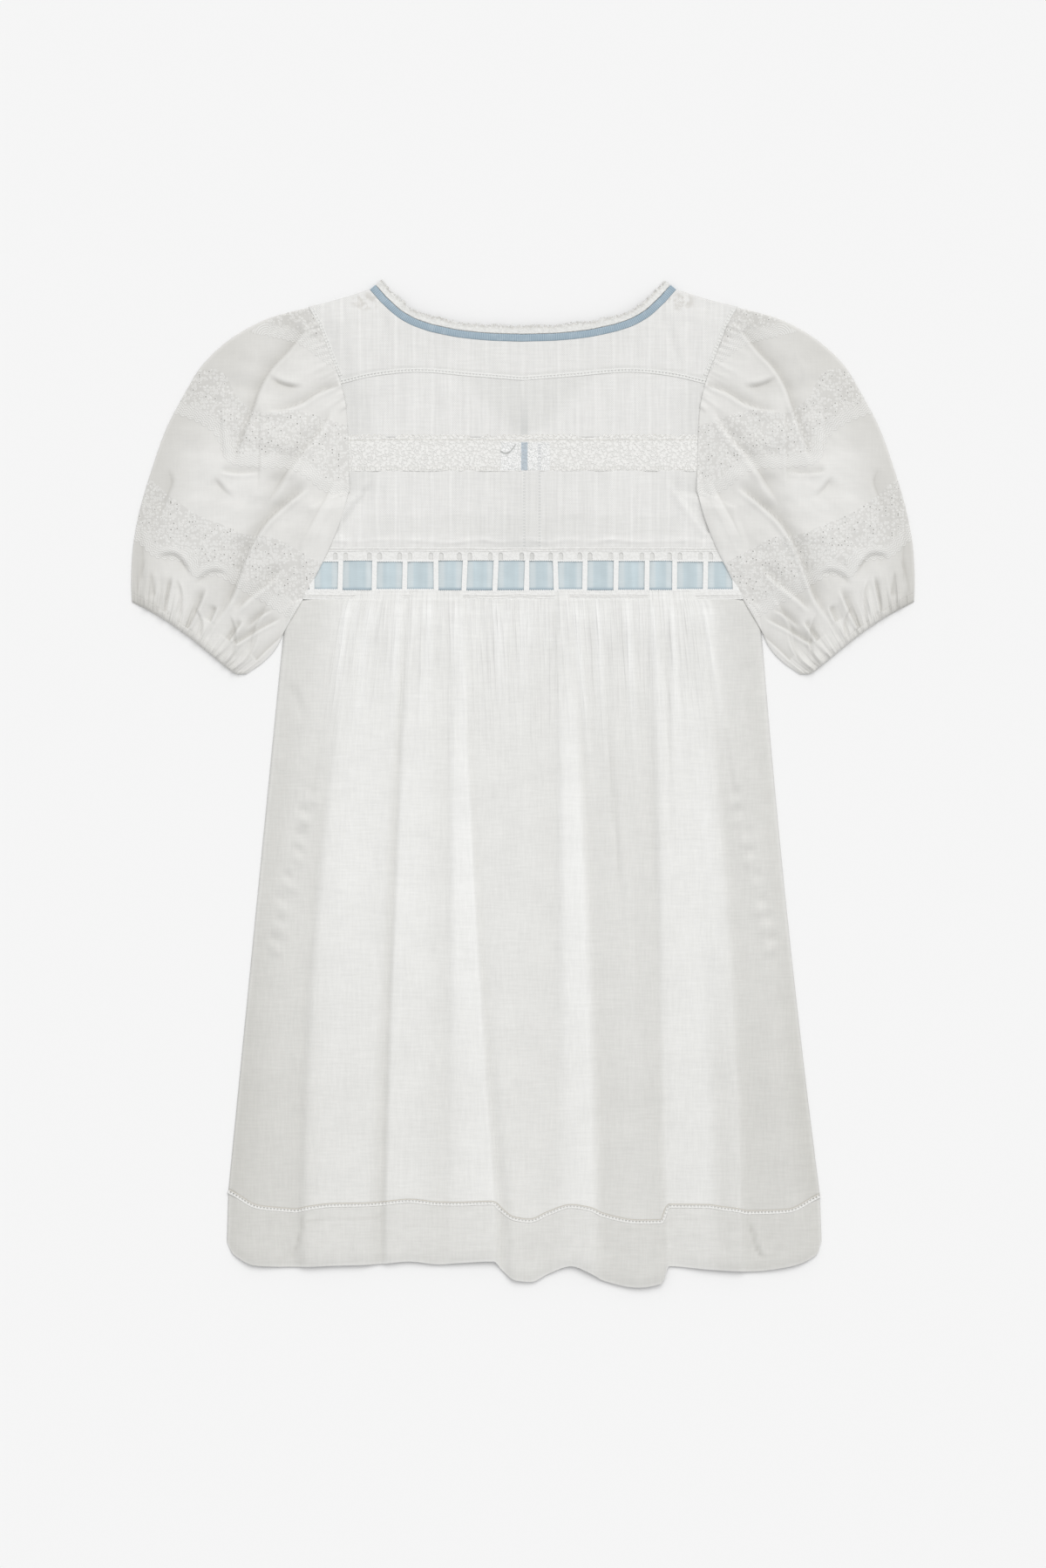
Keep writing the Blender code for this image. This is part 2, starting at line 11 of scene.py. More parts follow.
import bmesh
import bpy
import numpy as np
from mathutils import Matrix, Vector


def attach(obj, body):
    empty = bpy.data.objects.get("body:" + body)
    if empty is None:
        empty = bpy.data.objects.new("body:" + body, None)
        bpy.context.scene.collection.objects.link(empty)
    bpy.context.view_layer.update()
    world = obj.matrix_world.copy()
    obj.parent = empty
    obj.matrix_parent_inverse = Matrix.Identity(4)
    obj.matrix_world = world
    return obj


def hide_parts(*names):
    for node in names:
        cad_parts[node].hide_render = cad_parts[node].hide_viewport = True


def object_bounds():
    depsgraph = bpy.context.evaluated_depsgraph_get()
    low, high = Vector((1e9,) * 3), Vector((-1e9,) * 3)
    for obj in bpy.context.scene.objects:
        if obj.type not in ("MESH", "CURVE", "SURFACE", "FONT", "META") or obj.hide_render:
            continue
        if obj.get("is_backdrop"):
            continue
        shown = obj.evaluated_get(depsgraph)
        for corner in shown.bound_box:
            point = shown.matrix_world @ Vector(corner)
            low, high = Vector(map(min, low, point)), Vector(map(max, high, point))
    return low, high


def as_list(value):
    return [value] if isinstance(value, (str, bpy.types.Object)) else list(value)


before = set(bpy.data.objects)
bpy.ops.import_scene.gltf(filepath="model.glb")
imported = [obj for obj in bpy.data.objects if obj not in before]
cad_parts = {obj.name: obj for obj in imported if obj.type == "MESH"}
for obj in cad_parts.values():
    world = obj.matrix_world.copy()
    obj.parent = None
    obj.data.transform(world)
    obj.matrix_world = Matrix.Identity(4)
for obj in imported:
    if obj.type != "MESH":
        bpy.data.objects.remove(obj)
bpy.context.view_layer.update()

MM = 0.001

# %% [markdown]
# The camera looks straight down on the dress, so nothing leans. A long lens far away keeps the hem
# and the sleeves from spreading. A short lens close by would also frame the dress, but it would
# show the sides of the puffed sleeves.

# %% Camera
VIEW_HEIGHT = 1.3395  # metres of floor from the top to the bottom of the view
LENS, SENSOR = 100.0, 36.0  # millimetres: the tall side of the view falls on the sensor's 36
VIEW_MIDDLE_Y, DRESS_HEIGHT = -0.0004, 0.004
camera_data = bpy.data.cameras.new("camera")
camera_data.lens, camera_data.sensor_width = LENS, SENSOR
camera = bpy.data.objects.new("camera", camera_data)
camera.location = (0.0, VIEW_MIDDLE_Y, VIEW_HEIGHT * LENS / SENSOR + DRESS_HEIGHT)
bpy.context.scene.collection.objects.link(camera)
bpy.context.scene.camera = camera
print("camera height:", round(camera.location.z, 3), "m")

# %% [markdown]
# White cloth on a white floor needs soft light that still has a direction. An even sky fills every
# fold, and one wide, soft sun, above the neck and a little to the right, leaves the lower left of
# each fold slightly darker. A small lamp would draw hard black creases.

# %% Light
SKY, SOFTBOX, SOFTBOX_WIDE = 0.66, 1.36, 46.0  # strength, strength, and width in degrees
world = bpy.data.worlds.new("studio")
world.use_nodes = True
sky_inputs = world.node_tree.nodes["Background"].inputs
sky_inputs["Color"].default_value, sky_inputs["Strength"].default_value = (1.0, 1.0, 1.0, 1.0), SKY
bpy.context.scene.world = world
bpy.context.scene.view_settings.view_transform = "Standard"

panel = bpy.data.lights.new("softbox", "SUN")
panel.angle, panel.energy = math.radians(SOFTBOX_WIDE), SOFTBOX
softbox = bpy.data.objects.new("softbox", panel)
softbox.location = (0.6, 1.9, 2.6)
softbox.rotation_euler = softbox.location.to_track_quat("Z", "Y").to_euler()
bpy.context.scene.collection.objects.link(softbox)
print("sky:", SKY, "softbox:", panel.energy)

# %% [markdown]
# Every finish is a material: a Principled shader whose colour and bump come from a network of
# nodes. The nodes could be joined by hand, one call each, but the sums would be hard to read. So
# shader values are wrapped here, and adding or multiplying them adds the nodes that do it.

# %% Finishes
class Value:
    """A number, place or colour in a shader. Ordinary arithmetic with it adds the nodes."""

    def __init__(self, socket):
        self.socket = socket

    def __abs__(self):
        return math_node("ABSOLUTE", self)


def node(kind, links, tree=None, **settings):
    """Add a node, give it its settings, then set or join its inputs."""
    links = dict(links)
    tree = tree or next(value.socket.id_data for value in links.values() if isinstance(value, Value))
    made = tree.nodes.new(kind)
    for name, value in settings.items():
        setattr(made, name, value)
    for name, value in links.items():
        if isinstance(value, Value):
            tree.links.new(value.socket, made.inputs[name])
        else:
            made.inputs[name].default_value = value
    return made


def math_node(kind, *values):
    return Value(node("ShaderNodeMath", enumerate(values), operation=kind).outputs[0])


for sign, kind in (("add", "ADD"), ("sub", "SUBTRACT"), ("mul", "MULTIPLY"), ("truediv", "DIVIDE"), ("pow", "POWER")):
    setattr(Value, f"__{sign}__", lambda self, other, kind=kind: math_node(kind, self, other))
    setattr(Value, f"__r{sign}__", lambda self, other, kind=kind: math_node(kind, other, self))


def blend(share, first, second, mode="MIX"):
    """Mix two colours by a share; the sockets for colours are the node's sixth and seventh."""
    first, second = (value if isinstance(value, Value) else (*value, 1.0) for value in (first, second))
    made = node("ShaderNodeMix", {0: share, 6: first, 7: second}, data_type="RGBA", blend_type=mode)
    return Value(made.outputs[2])


def between(value, low, high, bottom=0.0, top=1.0, ease="SMOOTHSTEP"):
    """From bottom at low to top at high: eased between them, level beyond them."""
    links = {"Value": value, "From Min": low, "From Max": high, "To Min": bottom, "To Max": top}
    return Value(node("ShaderNodeMapRange", links, interpolation_type=ease).outputs[0])


class Paint:
    """A material being mixed: its nodes, its Principled shader and its colour so far."""

    def __init__(self, name, **looks):
        self.material = bpy.data.materials.new(name)
        self.material.use_nodes = True
        self.tree = self.material.node_tree
        self.shader = self.tree.nodes["Principled BSDF"]
        for look, value in looks.items():
            self.shader.inputs[look.replace("_", " ")].default_value = value

    def place(self, kind="Object"):
        """Places in metres: on the dress, or (UV) along the cloth's own length and width."""
        source = "ShaderNodeUVMap" if kind == "UV" else "ShaderNodeTexCoord"
        return Value(self.tree.nodes.new(source).outputs[kind])

    def mark(self, name):
        """The number that each point of the cloth keeps under this name."""
        return Value(node("ShaderNodeAttribute", {}, self.tree, attribute_name=name).outputs["Fac"])

    def over(self, share, colour, mode="MIX"):
        """Lay a colour, by a share, over the colour so far."""
        self.colour = blend(share, self.colour, colour, mode)
        self.tree.links.new(self.colour.socket, self.shader.inputs["Base Color"])

    def shade(self, value):
        self.over(1.0, value, "MULTIPLY")

    def bump(self, height, strength, distance):
        """Raise the surface where this height is high, on top of the bump it already has."""
        normal, links = self.shader.inputs["Normal"], {"Height": height, "Strength": strength, "Distance": distance}
        if normal.is_linked:
            links["Normal"] = Value(normal.links[0].from_socket)
        self.tree.links.new(node("ShaderNodeBump", links).outputs[0], normal)


print("signs:", [name for name in vars(Value) if name.startswith("__r")])

# %% [markdown]
# The floor is one wide white plane. A curved paper sweep would hide a horizon, but from straight
# above there is none. It is staged, so that it never counts as a part of the dress.

# %% Floor
FLOOR_TONE, FLOOR_SIZE, FLOOR_Z = 0.915, 14.0, -0.0002
bpy.ops.mesh.primitive_plane_add(size=FLOOR_SIZE, location=(0.0, 0.0, 0.0))
floor = bpy.context.object
floor.name = "floor"
floor_paint = Paint("floor_paint", Base_Color=(FLOOR_TONE,) * 3 + (1.0,), Roughness=0.9, Specular_IOR_Level=0.1)
floor.data.materials.append(floor_paint.material)
floor.location.z = FLOOR_Z
bpy.ops.object.transform_apply(location=True)
floor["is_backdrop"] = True
print("floor:", FLOOR_SIZE, "m")

# %% [markdown]
# All the sewing sizes are in millimetres, and a sheet's points turn into metres only when it is
# made. Smooth lines run through short lists of points. Each helper works on whole arrays of places
# at once, because a sheet of cloth has tens of thousands of points.

# %% Sizes and smooth lines
SEAM = 0.3  # the gap between neighbouring panels
# upper side of the back, at its sewn edges and over the ribbon, and how far the rise between reaches
BACK_EDGE_TOP, BACK_TOP, EDGE_WIDE = 2.3, 4.9, 22.0
WAIST_Y, BEADING_TOP_Y, LACE_BOTTOM_Y, LACE_TOP_Y = 157.5, 202.0, 267.0, 297.0
WAIST_HALF, UNDERARM_HALF, UNDERARM_Y = 187.0, 178.0, 235.0
TRIM, NECK_BINDING = 4.0, 6.1  # widths
NECK_LINE = (
    (0, 377.3), (30, 378.3), (56, 381), (80, 386), (95, 391.3), (109, 399.5), (122, 411.5), (131, 422),
)
YOKE_SEAM = ((0, 346), (44, 349.5), (90, 353), (125, 350), (160, 342.5))
SHOULDER = ((131, 422), (157, 413.5), (183, 407))
ARMHOLE = ((183, 407), (175, 391.5), (166, 368), (157, 344), (152, 322), (150, 294), (149, 249))
UNDERARM = ((149, 249), (160, 245), (178, 235))


def smooth(value):
    value = np.clip(value, 0.0, 1.0)
    return value * value * (3.0 - 2.0 * value)


def ease(value, start, end):
    """0 at start, 1 at end, and level beyond both; the start may be the larger one."""
    return smooth((value - start) / (end - start))


def mix(first, second, share):
    return first + (second - first) * share


def curved(start, end, start_slope, end_slope, share):
    """A value on the smooth curve that leaves start and reaches end at these slopes."""
    square, cube = share ** 2, share ** 3
    return (
        (2 * cube - 3 * square + 1) * start
        + (cube - 2 * square + share) * start_slope
        + (3 * square - 2 * cube) * end
        + (cube - square) * end_slope
    )


def spline(values, span, share):
    """A smooth value on one span of evenly keyed values that were carried on at both ends."""
    before, start, end, after = (values[span + step] for step in range(4))
    return curved(start, end, (end - before) / 2, (after - start) / 2, share)


def carried_on(values):
    return np.concatenate([[2 * values[0] - values[1]], values, [2 * values[-1] - values[-2]]])


def lengths(x, y):
    """How far along a line of points each one is."""
    return np.concatenate([[0.0], np.cumsum(np.hypot(np.diff(x), np.diff(y)))])


def span_of(keys, at):
    """Which span of a rising list each value falls in, and its share of the way through it."""
    span = np.clip(np.searchsorted(keys, at, side="right") - 1, 0, len(keys) - 2)
    return span, np.clip((at - keys[span]) / (keys[span + 1] - keys[span]), 0.0, 1.0)


def value_at(points, key, axis=0):
    """The other coordinate of a line of points, where the one on this axis has this value."""
    rows = np.array(sorted(points, key=lambda point: point[axis]), float)
    return spline(carried_on(rows[:, 1 - axis]), *span_of(rows[:, axis], key))


def reach(points, place):
    """Points at these parts (0 to 1) of a smooth line, by length."""
    rows = np.array(points, float)
    ends = lengths(*rows.T)
    span, share = span_of(ends, np.asarray(place) * ends[-1])
    return tuple(spline(carried_on(line), span, share) for line in rows.T)


def side_half(y):
    """Half the width of the body at this height, out to its armhole or side seam."""
    waist = mix(WAIST_HALF, UNDERARM_HALF, ease(y, BEADING_TOP_Y, UNDERARM_Y))
    below = np.where(y >= UNDERARM_Y, value_at(UNDERARM, y, axis=1), waist)
    return np.where(y >= ARMHOLE[-1][1], value_at(ARMHOLE, y, axis=1), below)


def shoulder_y(x):
    (x0, y0), (x1, y1) = SHOULDER[0], SHOULDER[-1]
    return mix(y0, y1, (np.abs(x) - x0) / (x1 - x0))


def back_top(x, y):
    """Upper side of the back of the bodice: down on the front at its sides and shoulders."""
    side = ease(side_half(y) - np.abs(x), 0, EDGE_WIDE)
    over_ribbon = ease(y, UNDERARM_Y, BEADING_TOP_Y)
    shoulder = ease(shoulder_y(x) - y, 0, EDGE_WIDE)
    return mix(BACK_EDGE_TOP, BACK_TOP, np.maximum(side, over_ribbon) * shoulder)


print("half width at the underarm:", round(float(side_half(np.array(240.0))), 1), "mm")

# %% [markdown]
# A sheet of cloth is a grid whose points are set by a function of their place, then given a real
# thickness with Solidify. Simulated cloth would also crease, but never where this dress does, so the
# folds are listed one by one. Each point also keeps a few numbers that the finishes read, such as how
# many layers lie under it, with painted light and shade mixed into that same number.

# %% Sheet of cloth
def select(*pieces):
    bpy.ops.object.select_all(action="DESELECT")
    for piece in pieces:
        piece.select_set(True)
    bpy.context.view_layer.objects.active = pieces[0]


def lay_flat(mesh, values):
    """Set the UV map: the place in metres, along and across, of each point's cloth when it is flat."""
    corners = np.zeros(len(mesh.loops), np.int32)
    mesh.loops.foreach_get("vertex_index", corners)
    mesh.uv_layers[0].data.foreach_set("uv", values[corners].astype(np.float32).ravel())


def cloth(name, x, y, z, finish, keep=None, marks=None, thick=0.5, around=False):
    """A sheet through a grid of millimetre points, marked with numbers for its finish."""
    rows, columns = x.shape
    bpy.ops.mesh.primitive_grid_add(x_subdivisions=columns - 1, y_subdivisions=rows - 1, size=1.0)
    piece = bpy.context.object
    piece.name = piece.data.name = name
    mesh = piece.data
    points = np.stack([x, y, z], axis=-1).reshape(-1, 3) * MM
    mesh.vertices.foreach_set("co", points.astype(np.float32).ravel())
    lay_flat(mesh, points[:, :2])
    for mark, values in (marks or {}).items():
        layer = mesh.attributes.new(mark, "FLOAT", "POINT")
        layer.data.foreach_set("value", np.broadcast_to(values, x.shape).astype(np.float32).ravel())
    if keep is not None or around:
        shape = bmesh.new()
        shape.from_mesh(mesh)
        shape.faces.ensure_lookup_table()
        if keep is not None:
            gone = [face for face in shape.faces if not keep.ravel()[face.index]]
            bmesh.ops.delete(shape, geom=gone, context="FACES")
        if around:
            bmesh.ops.remove_doubles(shape, verts=shape.verts, dist=1e-6)
        shape.to_mesh(mesh)
        shape.free()
    mesh.update()
    mesh.materials.clear()
    mesh.materials.append(finish.material)
    mesh.shade_smooth()
    if thick:
        wall = piece.modifiers.new("wall", "SOLIDIFY")
        wall.thickness, wall.offset = thick * MM, -1.0
        select(piece)
        bpy.ops.object.modifier_apply(modifier="wall")
    return piece


def area_of(piece):
    """Area of one side of a thin shell, in square metres."""
    areas = np.zeros(len(piece.data.polygons), np.float32)
    piece.data.polygons.foreach_get("area", areas)
    return float(areas.sum()) / 2


def place(piece, node, slot, flat, area=None, held="laid", rests_on=(), others=()):
    """Tie a finished sheet to the frame in place of its frame parts, and print its triangles and its area against its
    flat cut.
    """
    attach(piece, "root")
    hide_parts(node, *others)
    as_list(rests_on)
    triangles = sum(len(face.vertices) - 2 for face in piece.data.polygons)
    print(f"{piece.name}: {triangles} triangles, {area_of(piece):.4f} m2 of {area or flat[0] * flat[1]:.4f}")


def panel_points(left, right, bottom, top, columns, rows):
    """x and y on a grid between two side lines x(y) and two cross lines y(x)."""
    over, up = np.meshgrid(columns, rows)
    y = mix(bottom(0.0 * over), top(0.0 * over), up)
    for _ in range(6):  # each side depends on the height, and each end on the place across
        x = mix(left(y), right(y), over)
        y = mix(bottom(x), top(x), up)
    return x, y


def level(height):
    return lambda x: np.full_like(x, height)


def evenly(steps):
    return np.linspace(0.0, 1.0, steps + 1)


def crowded(steps, ends=0.5):
    """Steps from 0 to 1 that crowd towards both ends, where a sheet rolls over."""
    even = evenly(steps)
    return mix(even, (1.0 - np.cos(math.pi * even)) / 2, ends)

# %% [markdown]
# A crease is a trough along a line, often with a soft bank beside it where the pressed-out cloth
# stands up. A line of points, a width and a depth describe one. Its depth fades at both ends, so it
# runs out into the cloth as a real one does.

# %% Creases
def bell(away, width):
    """1 where away is 0, and softly less on both sides: about a third at this width."""
    return np.exp(-((away / width) ** 2))


def spot(away_x, width_x, away_y, width_y):
    return bell(away_x, width_x) * bell(away_y, width_y)


def beside(x, y, points):
    """How far each place is from a line, signed by its side, and how far along the line it is."""
    px, py = reach(points, evenly(3 * len(points) if len(points) > 2 else 1))
    nearest = np.full(x.shape, 1e9)
    away, along = np.zeros(x.shape), np.zeros(x.shape)
    for index in range(len(px) - 1):
        run_x, run_y = px[index + 1] - px[index], py[index + 1] - py[index]
        share = ((x - px[index]) * run_x + (y - py[index]) * run_y) / (run_x ** 2 + run_y ** 2)
        share = np.clip(share, 0.0, 1.0)
        off_x, off_y = x - px[index] - share * run_x, y - py[index] - share * run_y
        distance = np.hypot(off_x, off_y)
        closer = distance < nearest
        nearest = np.where(closer, distance, nearest)
        away = np.where(closer, np.copysign(distance, run_x * off_y - run_y * off_x), away)
        along = np.where(closer, (index + share) / (len(px) - 1), along)
    return away, along


def crease(x, y, points, width, depth, bank=0.0, fade_in=0.25, fade_out=0.35, soft=1.0, sharp=False):
    """Height that one crease adds: a trough and a bank. A soft one is wider on the left of its line."""
    rows = np.array(points, float)
    reach_out = 5.0 * width * max(1.0, soft / 2)
    low, high = rows.min(axis=0) - reach_out, rows.max(axis=0) + reach_out
    near = (x > low[0]) & (x < high[0]) & (y > low[1]) & (y < high[1])
    height = np.zeros(x.shape)
    if near.any():
        away, along = beside(x[near], y[near], points)
        fade = smooth(along / max(fade_in, 1e-6)) * smooth((1.0 - along) / max(fade_out, 1e-6))
        crisp = 1.0 if soft == 1.0 else 0.6
        reach_to = np.where(away > 0, soft * width, crisp * width)
        trough = -depth * bell(away, reach_to)
        if sharp:
            trough = -depth * np.exp(-(np.sqrt(away ** 2 + 0.25) - 0.5) / reach_to)
        bank_side = away if soft == 1.0 else -away / crisp
        swell = bank * bell(bank_side - 1.7 * width, 1.5 * width)
        height[near] = fade * (trough + swell)
    return height


def both_sides(points, *sizes):
    """A crease and its mirror image on the left."""
    return (tuple((-x, y) for x, y in points), *sizes), (points, *sizes)


def creases(x, y, table, sharp=False):
    return sum(crease(x, y, *row, sharp=sharp) for row in table)


def crease_shade_lines(x, y, table):
    """Painted shade along the centre lines of the same creases, for the finish: 0 away from them, below 0 on them."""
    return sum(crease(x, y, row[0], 0.8, min(row[2], 3.0), 0.0, *row[4:6]) for row in table if row[2] > 0)


def ripple(x, y, seed, size, count=14):
    """A soft, irregular swell between about -1 and 1, made of waves about this many mm long."""
    dice = np.random.default_rng(seed)
    total = np.zeros(np.broadcast(x, y).shape)
    for _ in range(count):
        angle, phase = dice.uniform(0, 2 * math.pi, 2)
        length = size * dice.uniform(0.7, 1.8)
        total += np.sin((x * math.cos(angle) + y * math.sin(angle)) * 2 * math.pi / length + phase)
    return total / math.sqrt(count)


print("a crease 2 mm deep:", crease(np.zeros((1, 3)), np.array([[0.0, 5.0, 10.0]]), ((0, 0), (0, 10)), 1, 2).round(2))


# %% [markdown]
# Fine cotton is not one flat white. Thicker threads, slubs, show as short streaks along and across
# the weave. They are made once, as a shader node group, and each cotton mixes them with its own
# colours. Threads themselves are finer than this scale can show, and would only flicker.

# %% Slub weave
def stretched(place, scale):
    return Value(node("ShaderNodeMapping", {"Vector": place, "Scale": scale}).outputs[0])


def noise(place, scale, detail=2.0, roughness=0.5):
    """Cloudy noise around 0.5; three scales stretch it along the axes."""
    if isinstance(scale, tuple):
        place, scale = stretched(place, scale), 1.0
    links = {"Vector": place, "Scale": scale, "Detail": detail, "Roughness": roughness}
    return Value(node("ShaderNodeTexNoise", links).outputs[0])


weave = bpy.data.node_groups.new("slub_weave", "ShaderNodeTree")
weave.interface.new_socket("Place", in_out="INPUT", socket_type="NodeSocketVector")
for label in ("Height", "Tint"):
    weave.interface.new_socket(label, in_out="OUTPUT", socket_type="NodeSocketFloat")
weave_place = Value(weave.nodes.new("NodeGroupInput").outputs[0])
weave_out = weave.nodes.new("NodeGroupOutput")
streaks = [noise(weave_place, stretch, 3.0, 0.6) for stretch in ((620.0, 60.0, 60.0), (60.0, 620.0, 60.0))]
slubs = streaks[0] + streaks[1] - 1.0
tint = slubs * 0.95 + (noise(weave_place, 28.0, 3.0) * 0.5 + 0.25)
for label, value in (("Height", slubs), ("Tint", tint)):
    weave.links.new(value.socket, weave_out.inputs[label])
print("groups:", [group.name for group in bpy.data.node_groups])

# %% [markdown]
# The cotton's colour is painted from one number that each sheet carries: whiter where more layers
# lie under it and where light is painted, greyer where shade is painted. Gathered cloth also shows
# fine pulls that run down from its seam. These are too fine for the sheet's points, so the finish
# stretches noise along the seam and the drop below it, and paints them as light and shade as well
# as bump.

# %% Cotton
def cotton(name, thin, full, crinkle=0.35, weave_share=1.0):
    """White cotton with slubs, its colour painted from one number: grey for a thin layer and for shade, white for
    full layers and for light.
    """
    paint = Paint(name, Roughness=0.88, Specular_IOR_Level=0.25, Sheen_Weight=0.15)
    place = paint.place()
    slubs, tint = (Value(output) for output in node("ShaderNodeGroup", {"Place": place}, node_tree=weave).outputs)
    # painted light and shade: the number blends the grey thin colour into the white full one
    paint.colour = blend(paint.mark("layers"), thin, full)
    paint.shade(between(tint, 0.1, 0.9, 0.995 - 0.06 * weave_share, 0.995 + 0.06 * weave_share, "LINEAR"))
    seam_place = {0: paint.mark("along_seam") * 0.36, 1: paint.mark("from_seam") * 0.014}
    streak = noise(Value(node("ShaderNodeCombineXYZ", seam_place).outputs[0]), 1.0, 1.5)
    pull = (streak - 0.5) * paint.mark("gather")
    # painted shade and light of the fine gather pulls, as well as their bump
    paint.shade(pull * 0.17 + 1.0)
    crumple = noise(place, 95.0, 3.0, 0.55)
    paint.bump(pull * 2.9 + (crumple * crinkle + slubs * 0.10), 0.5, 0.0016)
    return paint


SKIRT_COTTON = cotton("skirt_cotton", (0.595, 0.588, 0.555), (0.888, 0.888, 0.873))
print("materials:", [made.name for made in bpy.data.materials])

# %% [markdown]
# ## The skirt
# The back of the skirt is gathered into the waist and falls in flat folds, like loose pleats. Each
# fold is a raised band with one crisp edge, where the cloth turns under. A table gives the lines
# down the skirt: where each one is across at the waist, halfway and at the hem seam, how high the
# cloth rises there, and its tone: how full it is, together with painted shade, darker at the sides
# and towards the hem. The sheet is swept across these lines, with more columns where they come
# close together.

# %% Skirt lines
# x at the waist, halfway and at the hem seam; y of the seam and the hem; rise at the waist, halfway
# and at the seam; tone (fullness with painted shade) halfway and at the seam
SKIRT_LINES = (
    (-202, -227, -252, -348.3, -392, 0, 0, 0, 0.3, 0.04),
    (-190, -219, -246, -351.5, -402.5, 0, 0.5, 1, 0.3, 0.08),
    (-175, -203, -227, -361.5, -412, 0.2, 1.5, 4, 0.42, 0.2),
    (-160, -190, -206, -364, -413, 0.3, 0.8, 1.8, 0.42, 0.27),
    (-149, -181, -194, -365, -413, 0.3, 0.6, 1.2, 0.4, 0.26),
    (-140, -171, -184, -362.5, -413, 1.5, 4, 5, 0.72, 0.46),
    (-122, -148, -160, -360, -412, 1.2, 3, 4.5, 0.8, 0.6),
    (-108, -122, -137, -359.7, -411.5, 1.2, 3, 4.5, 0.74, 0.6),
    (-99, -112.5, -121, -359, -410.5, 0.6, 1.6, 1.2, 0.5, 0.36),
    (-94, -107, -115, -358, -410, 1.5, 4.2, 4.2, 0.84, 0.66),
    (-80, -86, -97, -356.5, -408.5, 1.2, 3.4, 3.6, 0.76, 0.64),
    (-66, -66, -71, -359, -411, 1, 2.2, 2.4, 0.64, 0.54),
    (-59, -57.5, -58, -359, -410, 1.5, 4.6, 4.2, 0.92, 0.66),
    (-54, -42.5, -26, -358, -408.4, 1.5, 4.8, 5, 0.96, 0.76),
    (-50, -37.5, -19, -364, -416, 0.5, 0.8, 1, 0.6, 0.54),
    (-40, -28, -8, -371.5, -424.5, 0.5, 1.2, 4.5, 0.66, 0.56),
    (-20, -8, 6, -373.5, -426, 0.5, 1.2, 3, 0.66, 0.56),
    (25, 26, 22, -367, -419, 0.4, 0.8, 2.2, 0.6, 0.54),
    (31, 37, 41, -361, -412.5, 1.5, 4, 4, 0.88, 0.72),
    (37, 50, 57, -363.3, -418.5, 1.5, 4.5, 5, 0.92, 0.76),
    (42, 59.5, 69.5, -369, -425.4, 0.4, 0.8, 2.5, 0.5, 0.34),
    (75, 88, 98, -374.2, -430.8, 0.5, 1.5, 4, 0.52, 0.4),
    (105, 112, 118.5, -373.8, -427, 0.5, 1, 5.5, 0.47, 0.34),
    (111, 120.5, 124.5, -361, -412.6, 1.5, 4, 1.2, 0.74, 0.66),
    (128, 146, 156, -361, -415.2, 1.2, 3, 4, 0.78, 0.7),
    (140, 162, 172, -363, -416.3, 1.4, 3.8, 4.6, 0.84, 0.42),
    (146, 171, 184, -364.5, -416.8, 1.5, 4, 5, 0.7, 0.46),
    (152, 180, 192, -366.5, -417.2, 0.3, 0.6, 1.5, 0.4, 0.24),
    (175, 203, 226, -365, -413, 0.2, 1.5, 4, 0.4, 0.26),
    (190, 217, 249, -354.5, -403, 0, 0.5, 1, 0.32, 0.08),
    (202, 224.5, 254, -352, -391.5, 0, 0, 0, 0.3, 0.04),
)
Line = namedtuple("Line", "x_waist x_mid x_hem seam_y hem_y rise_waist rise_mid rise_hem full_mid full_hem")
LINE = Line(*np.array(SKIRT_LINES, float).T)
SIDE_FLARE, FLARE_REACH, HEM_SLANT, WAIST_SLOPE = 15.0, 0.012, 0.3, 0.13
SKIRT_PITCH, ROLL = 2.4, 9.0  # between the columns, and how wide a side edge rolls down


def through_three(start, middle, end, place):
    return start * (1 - place) * (1 - 2 * place) + middle * 4 * place * (1 - place) + end * place * (2 * place - 1)


def line_columns(pitch):
    """For each column of a skirt sheet: the line on its left, and its share of the way to the next."""
    spans, shares = [], []
    for span, width in enumerate(np.diff(LINE.x_hem)):
        steps = max(4, round(width / pitch))
        spans += [span] * steps
        shares += list(evenly(steps)[:-1])
    return np.array(spans + [len(SKIRT_LINES) - 2]), np.array(shares + [1.0])


def across_lines(keys, values, spans, shares):
    """Values between the lines: smooth, and never beyond the lines' own values."""
    run = np.diff(keys, axis=1)
    rise = np.diff(values, axis=1) / run
    before, after = rise[:, :-1], rise[:, 1:]
    same = before * after > 0
    inner = np.where(same, 2 * before * after / np.where(same, before + after, 1.0), 0.0)
    slopes = np.concatenate([rise[:, :1], inner, rise[:, -1:]], axis=1)
    run = run[:, spans]
    return curved(values[:, spans], values[:, spans + 1], run * slopes[:, spans], run * slopes[:, spans + 1], shares)


def side_flare(down):
    """How far the top of a side edge is drawn in to the waist."""
    return SIDE_FLARE * np.exp(-np.maximum(down, 0.0) / FLARE_REACH)


def skirt_side(y, end=-1):
    """The skirt's side edge at this height: its last line, on the right, or (0) its first."""
    down = (WAIST_Y - y) / (WAIST_Y - LINE.seam_y[end])
    x = through_three(LINE.x_waist[end], LINE.x_mid[end], LINE.x_hem[end], np.minimum(down, 1.0))
    return x - side_flare(down) * (1 if end else -1)


